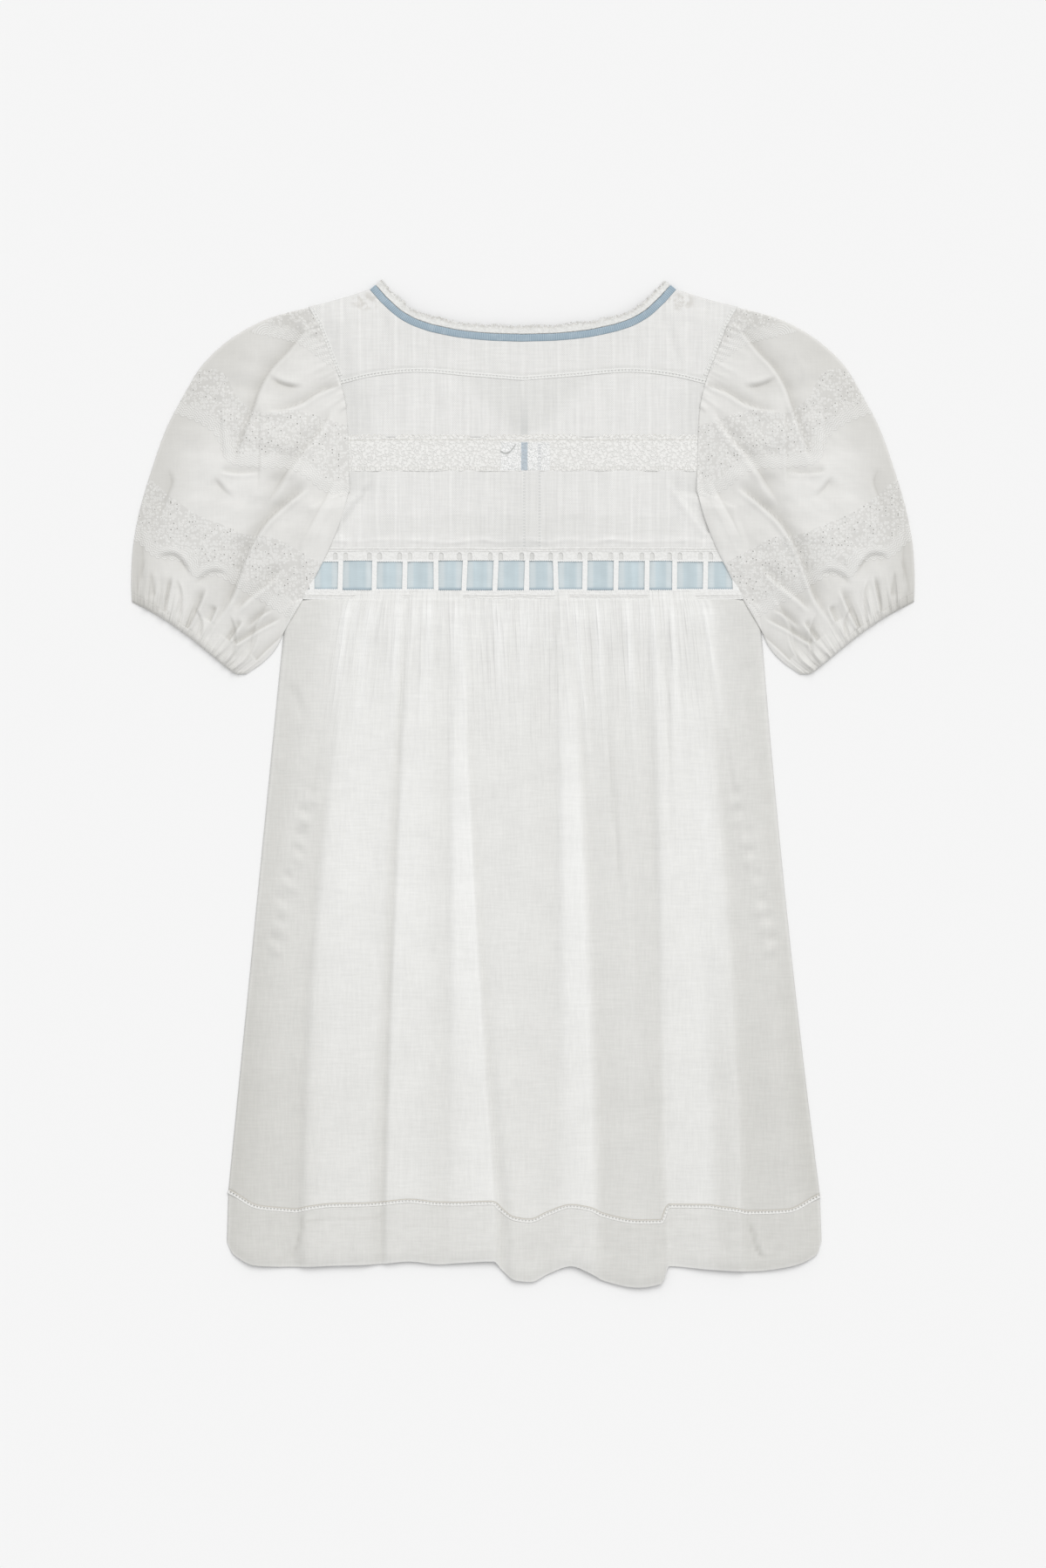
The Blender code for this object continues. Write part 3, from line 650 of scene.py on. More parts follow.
def skirt_sheet(down, below=None):
    """x, y, height and tone (fullness with painted shade) of the back of the skirt; below gives the hem's rows
    instead.
    """
    spans, shares = line_columns(SKIRT_PITCH)
    down = down[:, None]
    if below is None:
        x = through_three(LINE.x_waist, LINE.x_mid, LINE.x_hem, down)
        x = x - side_flare(down) * (x / LINE.x_waist[-1]) ** 7
        y, base = mix(WAIST_Y - SEAM, LINE.seam_y, down), mix(BACK_TOP, BACK_EDGE_TOP, ease(down, 0, WAIST_SLOPE))
        rise = np.maximum(through_three(LINE.rise_waist, LINE.rise_mid, LINE.rise_hem, down), 0.0)
        # fewer layers, and painted shade, towards the sides of the waist
        layers_shade_waist = 0.50 + 0.30 * ease(np.abs(LINE.x_waist), 186, 146)
        layers = mix(layers_shade_waist, LINE.full_mid, ease(down, 0, 0.42))
        layers = mix(layers, LINE.full_hem, ease(down, 0.42, 0.92))
    else:
        y, slant = mix(*below, down), 2 * (LINE.x_hem - LINE.x_mid) / (LINE.seam_y - WAIST_Y)
        x = LINE.x_hem + HEM_SLANT * slant * (y - LINE.seam_y)
        base, rise, layers = BACK_EDGE_TOP, LINE.rise_hem, 0.12 + 0.52 * LINE.full_hem
    sheet = [across_lines(x, np.broadcast_to(values, x.shape), spans, shares) for values in (y, rise, layers)]
    waist_x = mix(LINE.x_waist[spans], LINE.x_waist[spans + 1], shares)
    return mix(x[:, spans], x[:, spans + 1], shares), sheet[0], base + sheet[1], sheet[2], waist_x


def from_side(x, width):
    """1 at a sheet's left and right edges, falling to 0 this far in from them."""
    return 1.0 - np.clip(np.minimum(x - x[:, :1], x[:, -1:] - x) / width, 0.0, 1.0)


def rolled_edge(x, z, low=0.7):
    """Bring a sheet's left and right edges down in a soft curve to the layer below."""
    return mix(z, low, from_side(x, ROLL) ** 2)


print("lines:", len(SKIRT_LINES), "columns:", len(line_columns(SKIRT_PITCH)[0]))

# %% [markdown]
# The waist gathers are dozens of small tucks that fan out below the seam and die away within a
# hand's length. They are scattered by a seeded dice, so every run is the same, while the few long
# creases that catch the eye are listed one by one.

# %% Back of the skirt
GATHER_COUNT = 58
LONG_TUCKS = (-151, -130, -106, -80, -54, -24, -1.5, 43, 62, 88, 110, 127, 153)
# points, width, depth, bank, fade in, fade out
SKIRT_CREASES = (
    (((69, 152), (76, 0), (85, -110), (87, -150)), 2.4, 1.5, 0.9, 0.1, 0.4),
    (((122, 152), (125, 0), (127, -60)), 2.4, 1.4, 0.9, 0.1, 0.5),
    (((8, 130), (9, 60), (10, -20)), 1.6, 0.6, 0.2),
    (((-100, 140), (-106, 60), (-109, -10)), 2.2, 1.2, 0.8, 0.2, 0.5),
    (((-14, 120), (-12, 40), (-10, -30)), 2.6, 0.7, 0.5),
    *both_sides(((203, 88), (194, 74), (188, 52)), 4, 1, 0.6),
    *both_sides(((170, 60), (177, 10), (184, -40)), 2.6, 0.8, 0.6),
    (((-188, -364), (-192, -390), (-199, -408)), 1.8, 1.6, 1, 0.3, 0.2),
    (((192, -370), (199, -396), (206, -408)), 1.8, 1.6, 1, 0.3, 0.2),
    (((-150, -120), (-151, -240), (-153, -340)), 9, 0.5, 0.3),
    (((-96, -60), (-103, -190), (-110, -330)), 6, 0.5, 0.3),
    (((-20, 40), (-9, -120), (-2, -330)), 8, 0.5, 0.4),
    (((92, -40), (99, -180), (108, -340)), 7, 0.6, 0.4),
    (((150, 20), (156, -140), (165, -340)), 9, 0.5, 0.3),
    (((-112.5, -100), (-117.4, -230), (-121.3, -359), (-122, -409)), 0.9, 0.35, 0, 0.3, 0.02),
    (((-37.5, -103), (-29, -233), (-19.5, -364), (-17.8, -416)), 0.9, 0.5, 0, 0.3, 0.02),
    (((121, -102), (123.4, -231), (123.8, -361), (124, -411)), 0.9, 0.6, 0, 0.3, 0.02),
)
SIDE_PUCKERS = [(182 + 0.255 * drop, -7 - drop) for drop in (0, 17, 34, 51, 71, 92, 108, 126)]


def side_puckers(x, y):
    """Small dimples down each side, where the side seam's turned-in cloth is caught beneath."""
    dice = np.random.default_rng(52)
    height = np.zeros(x.shape)
    for sign in (-1, 1):
        for px, py in SIDE_PUCKERS:
            px, py = sign * px + dice.uniform(-1.5, 1.5), py + dice.uniform(-2, 2)
            leaned = px + 0.30 * sign * (y - py)
            dimple, mound = spot(x - leaned, 3.8, y - py, 4.2), spot(x - leaned, 4.6, y - py + 8.5, 5.4)
            height += dice.uniform(1.0, 2.2) * (0.9 * mound - dimple)
    return height


def waist_gathers(waist_x, below):
    """Height of the small tucks, from their place across the waist and their distance below it."""
    dice = np.random.default_rng(41)
    height = np.zeros(np.broadcast(waist_x, below).shape)
    places = np.linspace(-150.0, 168.0, GATHER_COUNT) + dice.uniform(-3.0, 3.0, GATHER_COUNT)
    for tuck in (*places, *LONG_TUCKS):
        long, wide, tall = dice.uniform(24, 80), dice.uniform(1.5, 2.4), dice.uniform(0.5, 1.4)
        if tuck in LONG_TUCKS:
            long, wide, tall = dice.uniform(130, 260), dice.uniform(2.0, 2.7), dice.uniform(1.3, 2.2)
        drift = dice.uniform(-0.04, 0.04)
        fade = smooth(1.0 - below / long) * (0.3 + 0.7 * ease(below, 0, 16))
        offset = waist_x - tuck - drift * below
        height += tall * fade * bell(offset, wide * (1.0 + 1.4 * below / long))
    return height


def painted_edge_light(x):
    """Painted light along a sheet's side edges, against the shade where the cloth rolls down to the floor."""
    return 0.28 * from_side(x, 3.5)


down = np.concatenate([[-0.014, -0.007, -0.001], evenly(200) ** 1.15])[::-1]
x, y, z, layers, waist_x = skirt_sheet(down)
below_waist = WAIST_Y - y
gathered = waist_gathers(waist_x, below_waist)
z += gathered * (below_waist > 0) - 0.6 * (below_waist < 0) - 0.3  # tucked in above the waist seam
z += creases(x, y, SKIRT_CREASES) + side_puckers(x, y)
z += 0.22 * ripple(x, y, 5, 46.0) * ease(below_waist, 0, 40) * smooth((y - y[:1] - 2.0) / 12.0)
z = rolled_edge(x, np.maximum(z, 1.4), low=0.7 + 2.4 * ease(below_waist, 14, 0))
# painted light on the tops of the waist tucks, and painted shade between them
layers += 0.15 * (gathered - 0.4) * smooth(1.2 - below_waist / 190.0)
layers += 0.07 * crease_shade_lines(x, y, SKIRT_CREASES) + painted_edge_light(x)
gather = ease(below_waist, 190, 0) * smooth((168.0 - np.abs(waist_x + 4.0)) / 24.0)
marks = {"layers": layers, "along_seam": waist_x, "from_seam": below_waist, "gather": gather}
skirt = cloth("gathered_skirt", x, y, z, SKIRT_COTTON, marks=marks)
place(skirt, "back_skirt", "cotton", flat=(0.52, 0.53), area=0.25, held="gathered", rests_on="front_skirt")

# %% [markdown]
# The hem is a doubled band of the same cotton, so it hangs flatter and looks whiter. It follows the
# skirt's own lines, a little slanted, and thins out to the floor at its edge. One sheet could carry
# both, but a seam runs between them, and the ladder trim will lie in it.

# %% Hem band
hem_rows = (1.0 - (1.0 - evenly(28)) ** 1.6)[::-1]
x, y, z, layers, _ = skirt_sheet(hem_rows, (LINE.seam_y, LINE.hem_y))
z = z - 0.3 + creases(x, y, SKIRT_CREASES) + 0.15 * ripple(x, y, 6, 40.0) * smooth((y[-1:] - y - 2.0) / 12.0)
from_edge = y - y[:1]
z = np.maximum(z, 1.4)  # never into the front's hem
z = mix(z, 0.62 * z + 0.3, (1.0 - np.clip(from_edge / 12.0, 0.0, 1.0)) ** 2)
z = rolled_edge(x, z)
from_seam = y[-1:] - y
inner_fold = bell(from_seam - 10.5, 0.8) * (np.abs(np.abs(x) - 154.0) < 32.0)
# painted light along the side and bottom edges, against their shade, and a darker line where the inner fold runs
layers += painted_edge_light(x) + 0.22 * (1.0 - np.clip(from_edge / 3.0, 0.0, 1.0)) - 0.30 * inner_fold
layers += 0.12 * crease_shade_lines(x, y, SKIRT_CREASES) + 0.02 * ripple(x, y, 40, 11.0)
hem = cloth("hem_band", x, y, z, SKIRT_COTTON, marks={"layers": layers})
place(hem, "back_hem_band", "cotton", flat=(0.52, 0.053), held="laid", rests_on="front_hem_band")

# %% [markdown]
# ## The bodice
# The back of the bodice is three flat pieces with a lace insertion and ladder trims between them. Its
# cotton has woven stripes: plain and dotted bands with a bright line of thicker threads between them.
# The stripes could be strips of geometry, but they are only a change of thread, so the finish draws
# them along the cloth's own width.

# %% Striped cotton
STRIPE = 15.5 * MM  # from one bright line to the next
THIN_BLUE, OLD_STAIN = (0.51, 0.525, 0.52), (0.46, 0.43, 0.38)


def split(place):
    """The x and y of a place, each a shader value."""
    return [Value(output) for output in node("ShaderNodeSeparateXYZ", {0: place}).outputs][:2]


def waves(value, length):
    """A sine that repeats after this length in millimetres."""
    return math_node("SINE", value * (2 * math.pi / (length * MM)))


def near(value, middle, far, close):
    """1 within close of a middle line and 0 beyond far from it, in millimetres."""
    return between(abs(value - middle * MM), far * MM, close * MM)


def striped_cotton(name, thin, full):
    """The plain cotton, with bright woven lines and dotted bands down it."""
    paint = cotton(name, thin, full, crinkle=0.24, weave_share=0.9)
    x, y = split(paint.place("UV"))
    across = x / STRIPE
    line = between(math_node("PINGPONG", across, 0.5), 0.12, 0.04)
    dotted = between(math_node("PINGPONG", across + 0.5, 1.0), 0.46, 0.54)
    dots = between(waves(x, 1.55) * waves(y, 1.9), 0.15, 0.8)
    warp = noise(paint.place("UV"), (480.0, 14.0, 1.0))
    paint.shade(line * 0.036 + 0.991 + (warp * 0.14 - 0.070) - (dots - 0.22) * dotted * 0.19)
    # the front's placket shows faintly through the thin back: its blue edge, and its line of stitches
    strip = near(x, 1.1, 3.4, 2.6) * between(y, 338 * MM, 300 * MM) * between(y, 292 * MM, 296 * MM)
    second = near(x, 14.2, 3.0, 2.9) * (13.3 * MM)
    stitches = between(waves(y, 2.7), -0.5, 0.2)
    line = between(abs(x - 0.9 * MM - second), 1.6 * MM, 0.5 * MM) * stitches * between(y, 269 * MM, 265 * MM)
    low = near(x, 1.1, 30, 4) * between(y, 216 * MM, 203 * MM)
    paint.over(strip * 0.36 + line * 0.36 + low * 0.16, THIN_BLUE)
    # faint old stains at the shoulder corners of the neck
    blotch = noise(stretched(paint.place(), (1.0, 1.0, 0.0)), 170.0, 3.0)
    off_corner = ((abs(x) - 134 * MM) / (13 * MM)) ** 2.0 + ((y - 412 * MM) / (8 * MM)) ** 2.0
    paint.over(between(off_corner, 1.4, 0.2) * between(blotch, 0.42, 0.62) * 0.40, OLD_STAIN)
    return paint


BODICE_COTTON = striped_cotton("bodice_cotton", (0.70, 0.70, 0.68), (0.83, 0.825, 0.81))
print("stripe:", STRIPE / MM, "mm")

# %% [markdown]
# The three panels meet at curved seams, so each is swept between two side lines and two cross
# lines. A table says which. They could be cut from one sheet, but then no panel could be replaced
# or sewn on its own. Their fullness also carries what lies under them, and painted shade: over the
# open neck, in the beading's arches and beside the sleeves.

# %% Back panels of the bodice
def yoke_seam(x):
    return value_at(YOKE_SEAM, np.abs(x))


def neck_y(x):
    return value_at(NECK_LINE, np.abs(x))


def yoke_top(x):
    return np.where(np.abs(x) <= NECK_LINE[-1][0], neck_y(x), value_at(SHOULDER, np.abs(x)))


def right_side(y):
    """The side of the back, half a millimetre under the sleeve's edge."""
    return side_half(y) + 0.5


def left_side(y):
    return -right_side(y)


def moved(line, step):
    return lambda x: line(x) + step


def open_neck(x, y):
    """1 where the front's open neck lies below, so that the back is a single layer, and 0 elsewhere."""
    return smooth((24.0 + (y - 300.0) * 0.91 - np.abs(x - 1.5)) / 26.0) * ease(y, 294, 302)


BODICE_CREASES = (
    *both_sides(((124, 264), (138, 244), (160, 214)), 4.4, 1.7, 1, 0.35, 0.02, 2.4),
    (((-118, 408), (-122, 388), (-134, 350)), 4, 1.3, 0.8),
    (((119, 408), (124, 386), (136, 350)), 4, 1, 0.6),
    (((-118, 340), (-121, 318), (-126, 300)), 7, 0.35, 0.2),
    (((116, 341), (120, 320), (124, 301)), 7, 0.35, 0.2),
    (((-70, 262), (-74, 238), (-72, 214)), 6, 0.25, 0.2),
    (((40, 264), (44, 240), (42, 212)), 6, 0.25, 0.2),
)
PUCKER_Y, YOKE_SIDE_Y = 207.0, 345.0  # the pucker's height, and where the yoke's seam meets its sides


def bodice_top(x, y):
    """Height of the back of the bodice with its creases, and its pucker above the beading."""
    wave = 1.2 * ripple(x, np.zeros_like(y), 8, 38.0)
    pucker = 0.85 * bell(y - PUCKER_Y - 0.8 * wave, 1.5) * (0.75 + 0.35 * ripple(x, y, 9, 18.0))
    under_ladder = ease(np.abs(y - yoke_seam(x)), 2.6, 2)
    under_ladder = np.maximum(under_ladder, ease(side_half(y) - np.abs(x), 4.9, 4.3) * (y > YOKE_SIDE_Y))
    under_lace = ease(y - LACE_BOTTOM_Y, 0.4, 0.9) * ease(LACE_TOP_Y - y, 1.4, 1.9)
    above = y - BEADING_TOP_Y
    folds = creases(x, y, BODICE_CREASES) + 0.10 * ripple(x, y, 7, 34.0)
    folds = folds * (1.0 - under_ladder) * (1.0 - under_lace)
    low = 0.35 * under_lace + 0.3 * ease(above, 0.4, -0.2) + 0.35 * ease(above, -3, -5)
    return back_top(x, y) - 0.2 + folds + pucker * (above > 0.6) - low


# name, node, bottom, top, columns, rows, flat width and length, area
BODICE_PANELS = (
    ("yoke_panel", "back_yoke", yoke_seam, moved(yoke_top, 0.5), 190, 38, (0.365, 0.080), 0.0155),
    ("upper_panel", "back_upper_panel", level(LACE_TOP_Y - 1.5), yoke_seam, 170, 40, (0.312, 0.056), None),
    ("lower_panel", "back_lower_panel", level(190.2), level(LACE_BOTTOM_Y + 1.2), 190, 66, (0.372, 0.078), None),
)
for name, node_name, bottom, top, columns, rows, flat, area in BODICE_PANELS:
    x, y = panel_points(left_side, right_side, bottom, top, crowded(columns, 0.3), evenly(rows))
    # painted shade over the open neck, where the back is one thin layer over a shaded gap
    full = 0.72 if name == "yoke_panel" else 0.74 - 0.38 * open_neck(x, y)
    # darker down the middle below the lace, and painted shade below 200 mm, seen through the beading's arches
    full = full - 0.20 * bell(x, 45.0) * (y < 266.0) - 0.35 * ease(y, 200, 198)
    # painted shade on the sides of the bodice, next to the sleeves
    at_side = ease(side_half(y) - np.abs(x), 36, 0) * ease(y, 352, 342)
    full = full - 0.34 * at_side * ease(y, 204, 216)
    # a darker band above the pucker
    band_above_pucker = ease(y, 232, 227) * ease(y, 211, 214) * ease(np.abs(x), 142, 128)
    full = full - 0.22 * band_above_pucker * (0.8 + 0.35 * ripple(x, 0.2 * y, 41, 15.0))
    off_seam = y - yoke_seam(x)
    open_ladder = ease(x, -94, -88) * ease(x, 66, 60)
    full = full + 0.10 * crease_shade_lines(x, y, BODICE_CREASES[:2])
    full = full + 0.8 * bell(off_seam, 1.6) * open_ladder - 0.4 * bell(off_seam - 3.2, 1.2)
    piece = cloth(name, x, y, bodice_top(x, y), BODICE_COTTON, marks={"layers": full})
    place(piece, node_name, "cotton", flat=flat, area=area, rests_on="front_bodice_left")

# %% [markdown]
# The ladder trims are narrow bands of threads with a row of open rungs, sewn between two pieces of
# cloth. Each is a grid of three rows, two rails and the gap, where every second cell of the gap is
# left out. An image with holes would be lighter, but real rungs catch the light and cast a shadow.

# %% Lace thread and ladder trims
RUNG_PITCH, RAIL, LADDER_WIDE = 2.9, 1.15, 3.8
DULL_THREAD = (0.56, 0.53, 0.47)


def voronoi(place, scale, randomness=1.0, **settings):
    """The distance to the nearest of many scattered points, and the colour of its cell."""
    links = {"Vector": place, "Scale": scale, "Randomness": randomness}
    distance, colour, *_ = node("ShaderNodeTexVoronoi", links, **settings).outputs
    return Value(distance), Value(colour)


def lace(name, light, dark, open_share=0.5, relief=0.6):
    """Cotton lace thread: white, with a small scale and soft grey between its threads."""
    paint = Paint(name, Roughness=0.9, Specular_IOR_Level=0.2)
    cell, flower = voronoi(paint.place(), 620.0)[0], voronoi(paint.place(), 300.0, 0.9)[0]
    holes = between(cell, 0.30, 0.62) * between(flower, 0.22, 0.62)
    paint.colour = light
    paint.over(holes * open_share, dark)
    paint.bump(1.0 - holes, relief, 0.0006)
    return paint


def along_line(x, y):
    """Length along a line of points, and its normals to the left."""
    run = lengths(x, y)
    slope_x, slope_y = np.gradient(x, run), np.gradient(y, run)
    size = np.hypot(slope_x, slope_y)
    return run, -slope_y / size, slope_x / size


def ladder(name, node_name, line_x, line_y, height, finish, width=LADDER_WIDE):
    """A ladder trim along a line of millimetre points, with its rungs one pitch apart."""
    run, *normal = along_line(line_x, line_y)
    long = run[-1]
    steps = max(2, 2 * round(long / RUNG_PITCH))
    at = np.linspace(0.0, long, steps + 1)
    px, py, nx, ny = (np.interp(at, run, values) for values in (line_x, line_y, *normal))
    offsets = np.array([-width / 2, -width / 2 + RAIL, width / 2 - RAIL, width / 2])[:, None]
    x, y = px + nx * offsets, py + ny * offsets
    keep = np.ones((3, steps), bool)
    keep[1, 1::2] = False
    marks = {"upper": np.linspace(0.0, 1.0, 4)[:, None]}
    piece = cloth(name, x, y, height(x, y), finish, keep=keep, marks=marks, thick=0.15)
    place(piece, node_name, "lace", flat=(long * MM, 0.01), area=long * MM * LADDER_WIDE * MM)


def on_bodice(x, y):
    return back_top(x, y) + 0.01


TRIM_THREAD = lace("trim_thread", (0.84, 0.84, 0.82), (0.72, 0.72, 0.70), 0.25, 0.2)
HEM_THREAD = lace("hem_thread", (0.85, 0.845, 0.825), (0.70, 0.69, 0.66), 0.3, 0.2)
HEM_THREAD.over(between(HEM_THREAD.mark("upper"), 0.6, 0.9) * 0.9, DULL_THREAD)
ARMHOLE_LADDER_Y = 348.5, 406.0
trim_half = float(side_half(np.array(YOKE_SIDE_Y))) - SEAM
line_x = np.linspace(-trim_half, trim_half, 300)
ladder("yoke_ladder", "back_yoke_trim", line_x, yoke_seam(line_x), on_bodice, TRIM_THREAD)
for side, sign in (("left", -1), ("right", 1)):
    line_y = np.linspace(*ARMHOLE_LADDER_Y, 60)
    line_x = sign * (side_half(line_y) - TRIM / 2 - SEAM)
    ladder("armhole_ladder_" + side, "back_armhole_trim_" + side, line_x, line_y, on_bodice, TRIM_THREAD)
hem_x, hem_y, hem_z, _, _ = skirt_sheet(np.array([0.5]), (LINE.seam_y + TRIM / 2, LINE.seam_y - TRIM / 2))


def on_hem(x, y):
    return np.interp(x, hem_x[0], hem_z[0]) - 0.16 + creases(x, y, SKIRT_CREASES)


ladder("hem_ladder", "back_hem_trim", hem_x[0], hem_y[0], on_hem, HEM_THREAD)

# %% [markdown]
# The lace insertion is a strip of fine net with a scalloped heading, a line of stitches along its
# foot and, in the middle, a worn window where the placket shows through. The net is far finer than
# any mesh that could be cut, so the finish draws its threads, and only the scallops are cut.

# %% Lace insertion
SEWN_GREY, OPEN_NET, CLOSED_NET = (0.57, 0.555, 0.50), (0.97, 0.97, 0.965), (0.68, 0.69, 0.68)
SHOWN_BLUE, SHOWN_STITCH, LOOSE_THREAD = (0.36, 0.45, 0.53), (0.50, 0.52, 0.54), (0.38, 0.39, 0.38)
WINDOW_LOW, WINDOW_HIGH, SOFT_EDGE = 267.5, 291.5, 0.6


def in_box(x, y, left, right, bottom, top):
    """1 inside a box given in millimetres, and 0 outside it."""
    across, up = (
        between(value, (low - SOFT_EDGE) * MM, (low + SOFT_EDGE) * MM)
        * between(value, (high + SOFT_EDGE) * MM, (high - SOFT_EDGE) * MM)
        for value, low, high in ((x, left, right), (y, bottom, top))
    )
    return across * up


def draw_insertion(paint):
    """Draw the sewn lines over the net: the heading, its seam, and two rows of stitches below."""
    x, y = split(paint.place("UV"))
    arc = abs(math_node("SINE", x * (math.pi / (4.6 * MM)))) * (2.3 * MM)
    heading = between(abs(y - 295.6 * MM - arc), 0.8 * MM, 0.3 * MM) * between(y, 294.8 * MM, 295.4 * MM)
    foot = between(abs(abs(y - 269.3 * MM) - 0.9 * MM), 0.7 * MM, 0.3 * MM) * between(waves(x, 2.3), -0.3, 0.4)
    sewn = math_node("MAXIMUM", math_node("MAXIMUM", heading, near(y, 293.6, 0.9, 0.4)), foot)
    paint.over(sewn * 0.30, SEWN_GREY)
    # the worn window: open net, with the placket's blue edge, its stitches and a loose thread
    open_net = between(voronoi(paint.place(), 640.0, feature="DISTANCE_TO_EDGE")[0], 0.02, 0.16)
    window = in_box(x, y, -19.0, 23.0, WINDOW_LOW, WINDOW_HIGH)
    paint.over(window * 0.9, blend(open_net, CLOSED_NET, OPEN_NET))
    paint.over(in_box(x, y, -1.6, 3.9, WINDOW_LOW, WINDOW_HIGH) * (open_net * 0.35 + 0.45), SHOWN_BLUE)
    beads = between(waves(y, 2.6), -0.3, 0.5)
    paint.over(in_box(x, y, 12.6, 15.4, 268.0, WINDOW_HIGH) * (beads * 0.55), SHOWN_STITCH)
    sag = y - 282 * MM - ((x + 15 * MM) / (10 * MM)) ** 2.0 * (10 * MM)
    loop = between(abs(sag), 1.3 * MM, 0.5 * MM) * in_box(x, y, -19.5, -6.0, 280.0, 291.0)
    paint.over(loop * 0.7, LOOSE_THREAD)


LACE_THREAD = lace("lace_thread", (0.868, 0.863, 0.842), (0.63, 0.625, 0.60), 0.38)
draw_insertion(LACE_THREAD)
bottom, top = level(LACE_BOTTOM_Y - 0.8), level(LACE_TOP_Y + 1.6)
x, y = panel_points(left_side, right_side, bottom, top, evenly(420), evenly(24))
scallop = 1.5 * np.abs(np.sin(math.pi * x[-1:] / 4.8))
y = y - (1.6 - scallop) * ease(y, 290, 298)
z = back_top(x, y) - 0.1 + 0.04 * ripple(x, y, 11, 9.0) - 0.2 * ease(y, 267.6, 266.4)
insertion = cloth("lace_insertion", x, y, z, LACE_THREAD, thick=0.3)
place(insertion, "back_lace_insertion", "lace", flat=(0.298, 0.031))

# %% [markdown]
# The beading is a band of lace with a row of windows, and a satin ribbon is threaded behind its
# bars. The band is drawn as a flat curve with holes in it, because a filled curve makes clean round
# holes that a grid of squares can't. Its windows have the tiny loops, picots, of real lace.

# %% Beading outline
BAR, RAIL_TOP, RAIL_BOTTOM, PICOT, ARCH = 4.2, 11.3, 8.0, 1.9, 1.9
BAND_LOW, BAND_HIGH, BAND_HALF = WAIST_Y - 0.2, BEADING_TOP_Y - SEAM, WAIST_HALF - SEAM
BARS = [-180.5, -156, -127, -101, -74.3, -49.9, -23.5, 3.3, 28, 52.9, 79.5, 106, 129.6, 156, 181]


def beading_outline():
    """The band's outer edge, and its windows and arches, as closed lines of points."""
    low, high, half, wide = BAND_LOW, BAND_HIGH, BAND_HALF, BAND_HALF + 1.2
    lines = [[(-wide, low), (wide, low), (wide, low + 6.0), (half, high), (-half, high), (-wide, low + 6.0)]]
    dice = np.random.default_rng(61)
    tilts = dict(zip(BARS, dice.uniform(-0.6, 0.6, len(BARS))))
    edges = [-half - BAR / 2 + 0.7] + BARS + [half + BAR / 2 - 0.7]
    window_low, window_high = low + RAIL_BOTTOM, high - RAIL_TOP
    for start, end in zip(edges, edges[1:]):
        start, end = start + BAR / 2, end - BAR / 2
        if end - start < 3:
            continue
        teeth = max(1, round((end - start) / PICOT))
        step = np.linspace(start, end, teeth * 4 + 1)
        tooth = 0.65 * np.abs(np.sin(math.pi * np.arange(teeth * 4 + 1) / 4)) - dice.uniform(-0.6, 0.7)
        share = (step - start) / (end - start)
        lean = mix(tilts.get(start - BAR / 2, 0.0), tilts.get(end + BAR / 2, 0.0), share)
        lines.append([*zip(step - lean, window_low + tooth), *zip((step + lean)[::-1], window_high - tooth)])
    angles = np.linspace(0.0, math.pi, 9)
    for bar in BARS:
        for middle in (bar - BAR / 2 - 2.3, bar + BAR / 2 + 2.3):
            arch = zip(middle + ARCH * np.cos(angles), window_high + 4.8 + 2.1 * np.sin(angles))
            lines.append([*arch, (middle - ARCH, window_high + 0.9), (middle + ARCH, window_high + 0.9)])
    return lines


def filled_curve(name, lines, height, thick, finish):
    """A flat curve with holes, filled, given a thickness and made a mesh."""
    shape = bpy.data.curves.new(name, "CURVE")
    shape.dimensions, shape.fill_mode, shape.extrude = "2D", "BOTH", thick * MM / 2
    for line in lines:
        spline_line = shape.splines.new("POLY")
        spline_line.points.add(len(line) - 1)
        for point, (x, y) in zip(spline_line.points, line):
            point.co = (x * MM, y * MM, 0.0, 1.0)
        spline_line.use_cyclic_u = True
    piece = bpy.data.objects.new(name, shape)
    bpy.context.scene.collection.objects.link(piece)
    piece.location.z = (height - thick / 2) * MM
    select(piece)
    bpy.ops.object.convert(target="MESH")
    bpy.ops.object.transform_apply(location=True, rotation=True, scale=True)
    piece.data.materials.clear()
    piece.data.materials.append(finish.material)
    return piece


print("bars:", len(BARS), "outlines:", len(beading_outline()))

# %% [markdown]
# Four fine cords run along the band, above and below its windows. They are crowned strips, joined
# to the band so that it stays one piece, as the real lace is. The finish draws the sewn lines
# between them, and keeps the bars whiter than the rails.

# %% Beading
RAIL_GREY, BAR_WHITE = (0.46, 0.45, 0.43), (0.89, 0.89, 0.88)
BAND_TOP, CORD_FOOT, RIBBON_TOP, UNDER_RIBBON_TOP = 4.7, 4.62, 3.7, 2.2
CORDS = ((200.7, 1.2), (198.9, 1.2), (159.0, 1.4), (161.4, 1.2))  # height on the dress, width


def crowned(share, height):
    """A rounded rise across a strip, from 0 at its edges to this height in its middle."""
    return height * np.sqrt(np.maximum(0.0, 1.0 - (2.0 * share - 1.0) ** 2))


def cord_line(y_middle, width):
    """A raised thread line across the beading."""
    x, up = np.meshgrid(np.linspace(-BAND_HALF, BAND_HALF, 300), evenly(6))
    y = (up - 0.5) * width + y_middle + 0.35 * ripple(x, np.zeros_like(x), 3, 30.0)
    return cloth("beading_cord", x, y, CORD_FOOT + crowned(up, 0.35), BEADING_THREAD, thick=0.3)


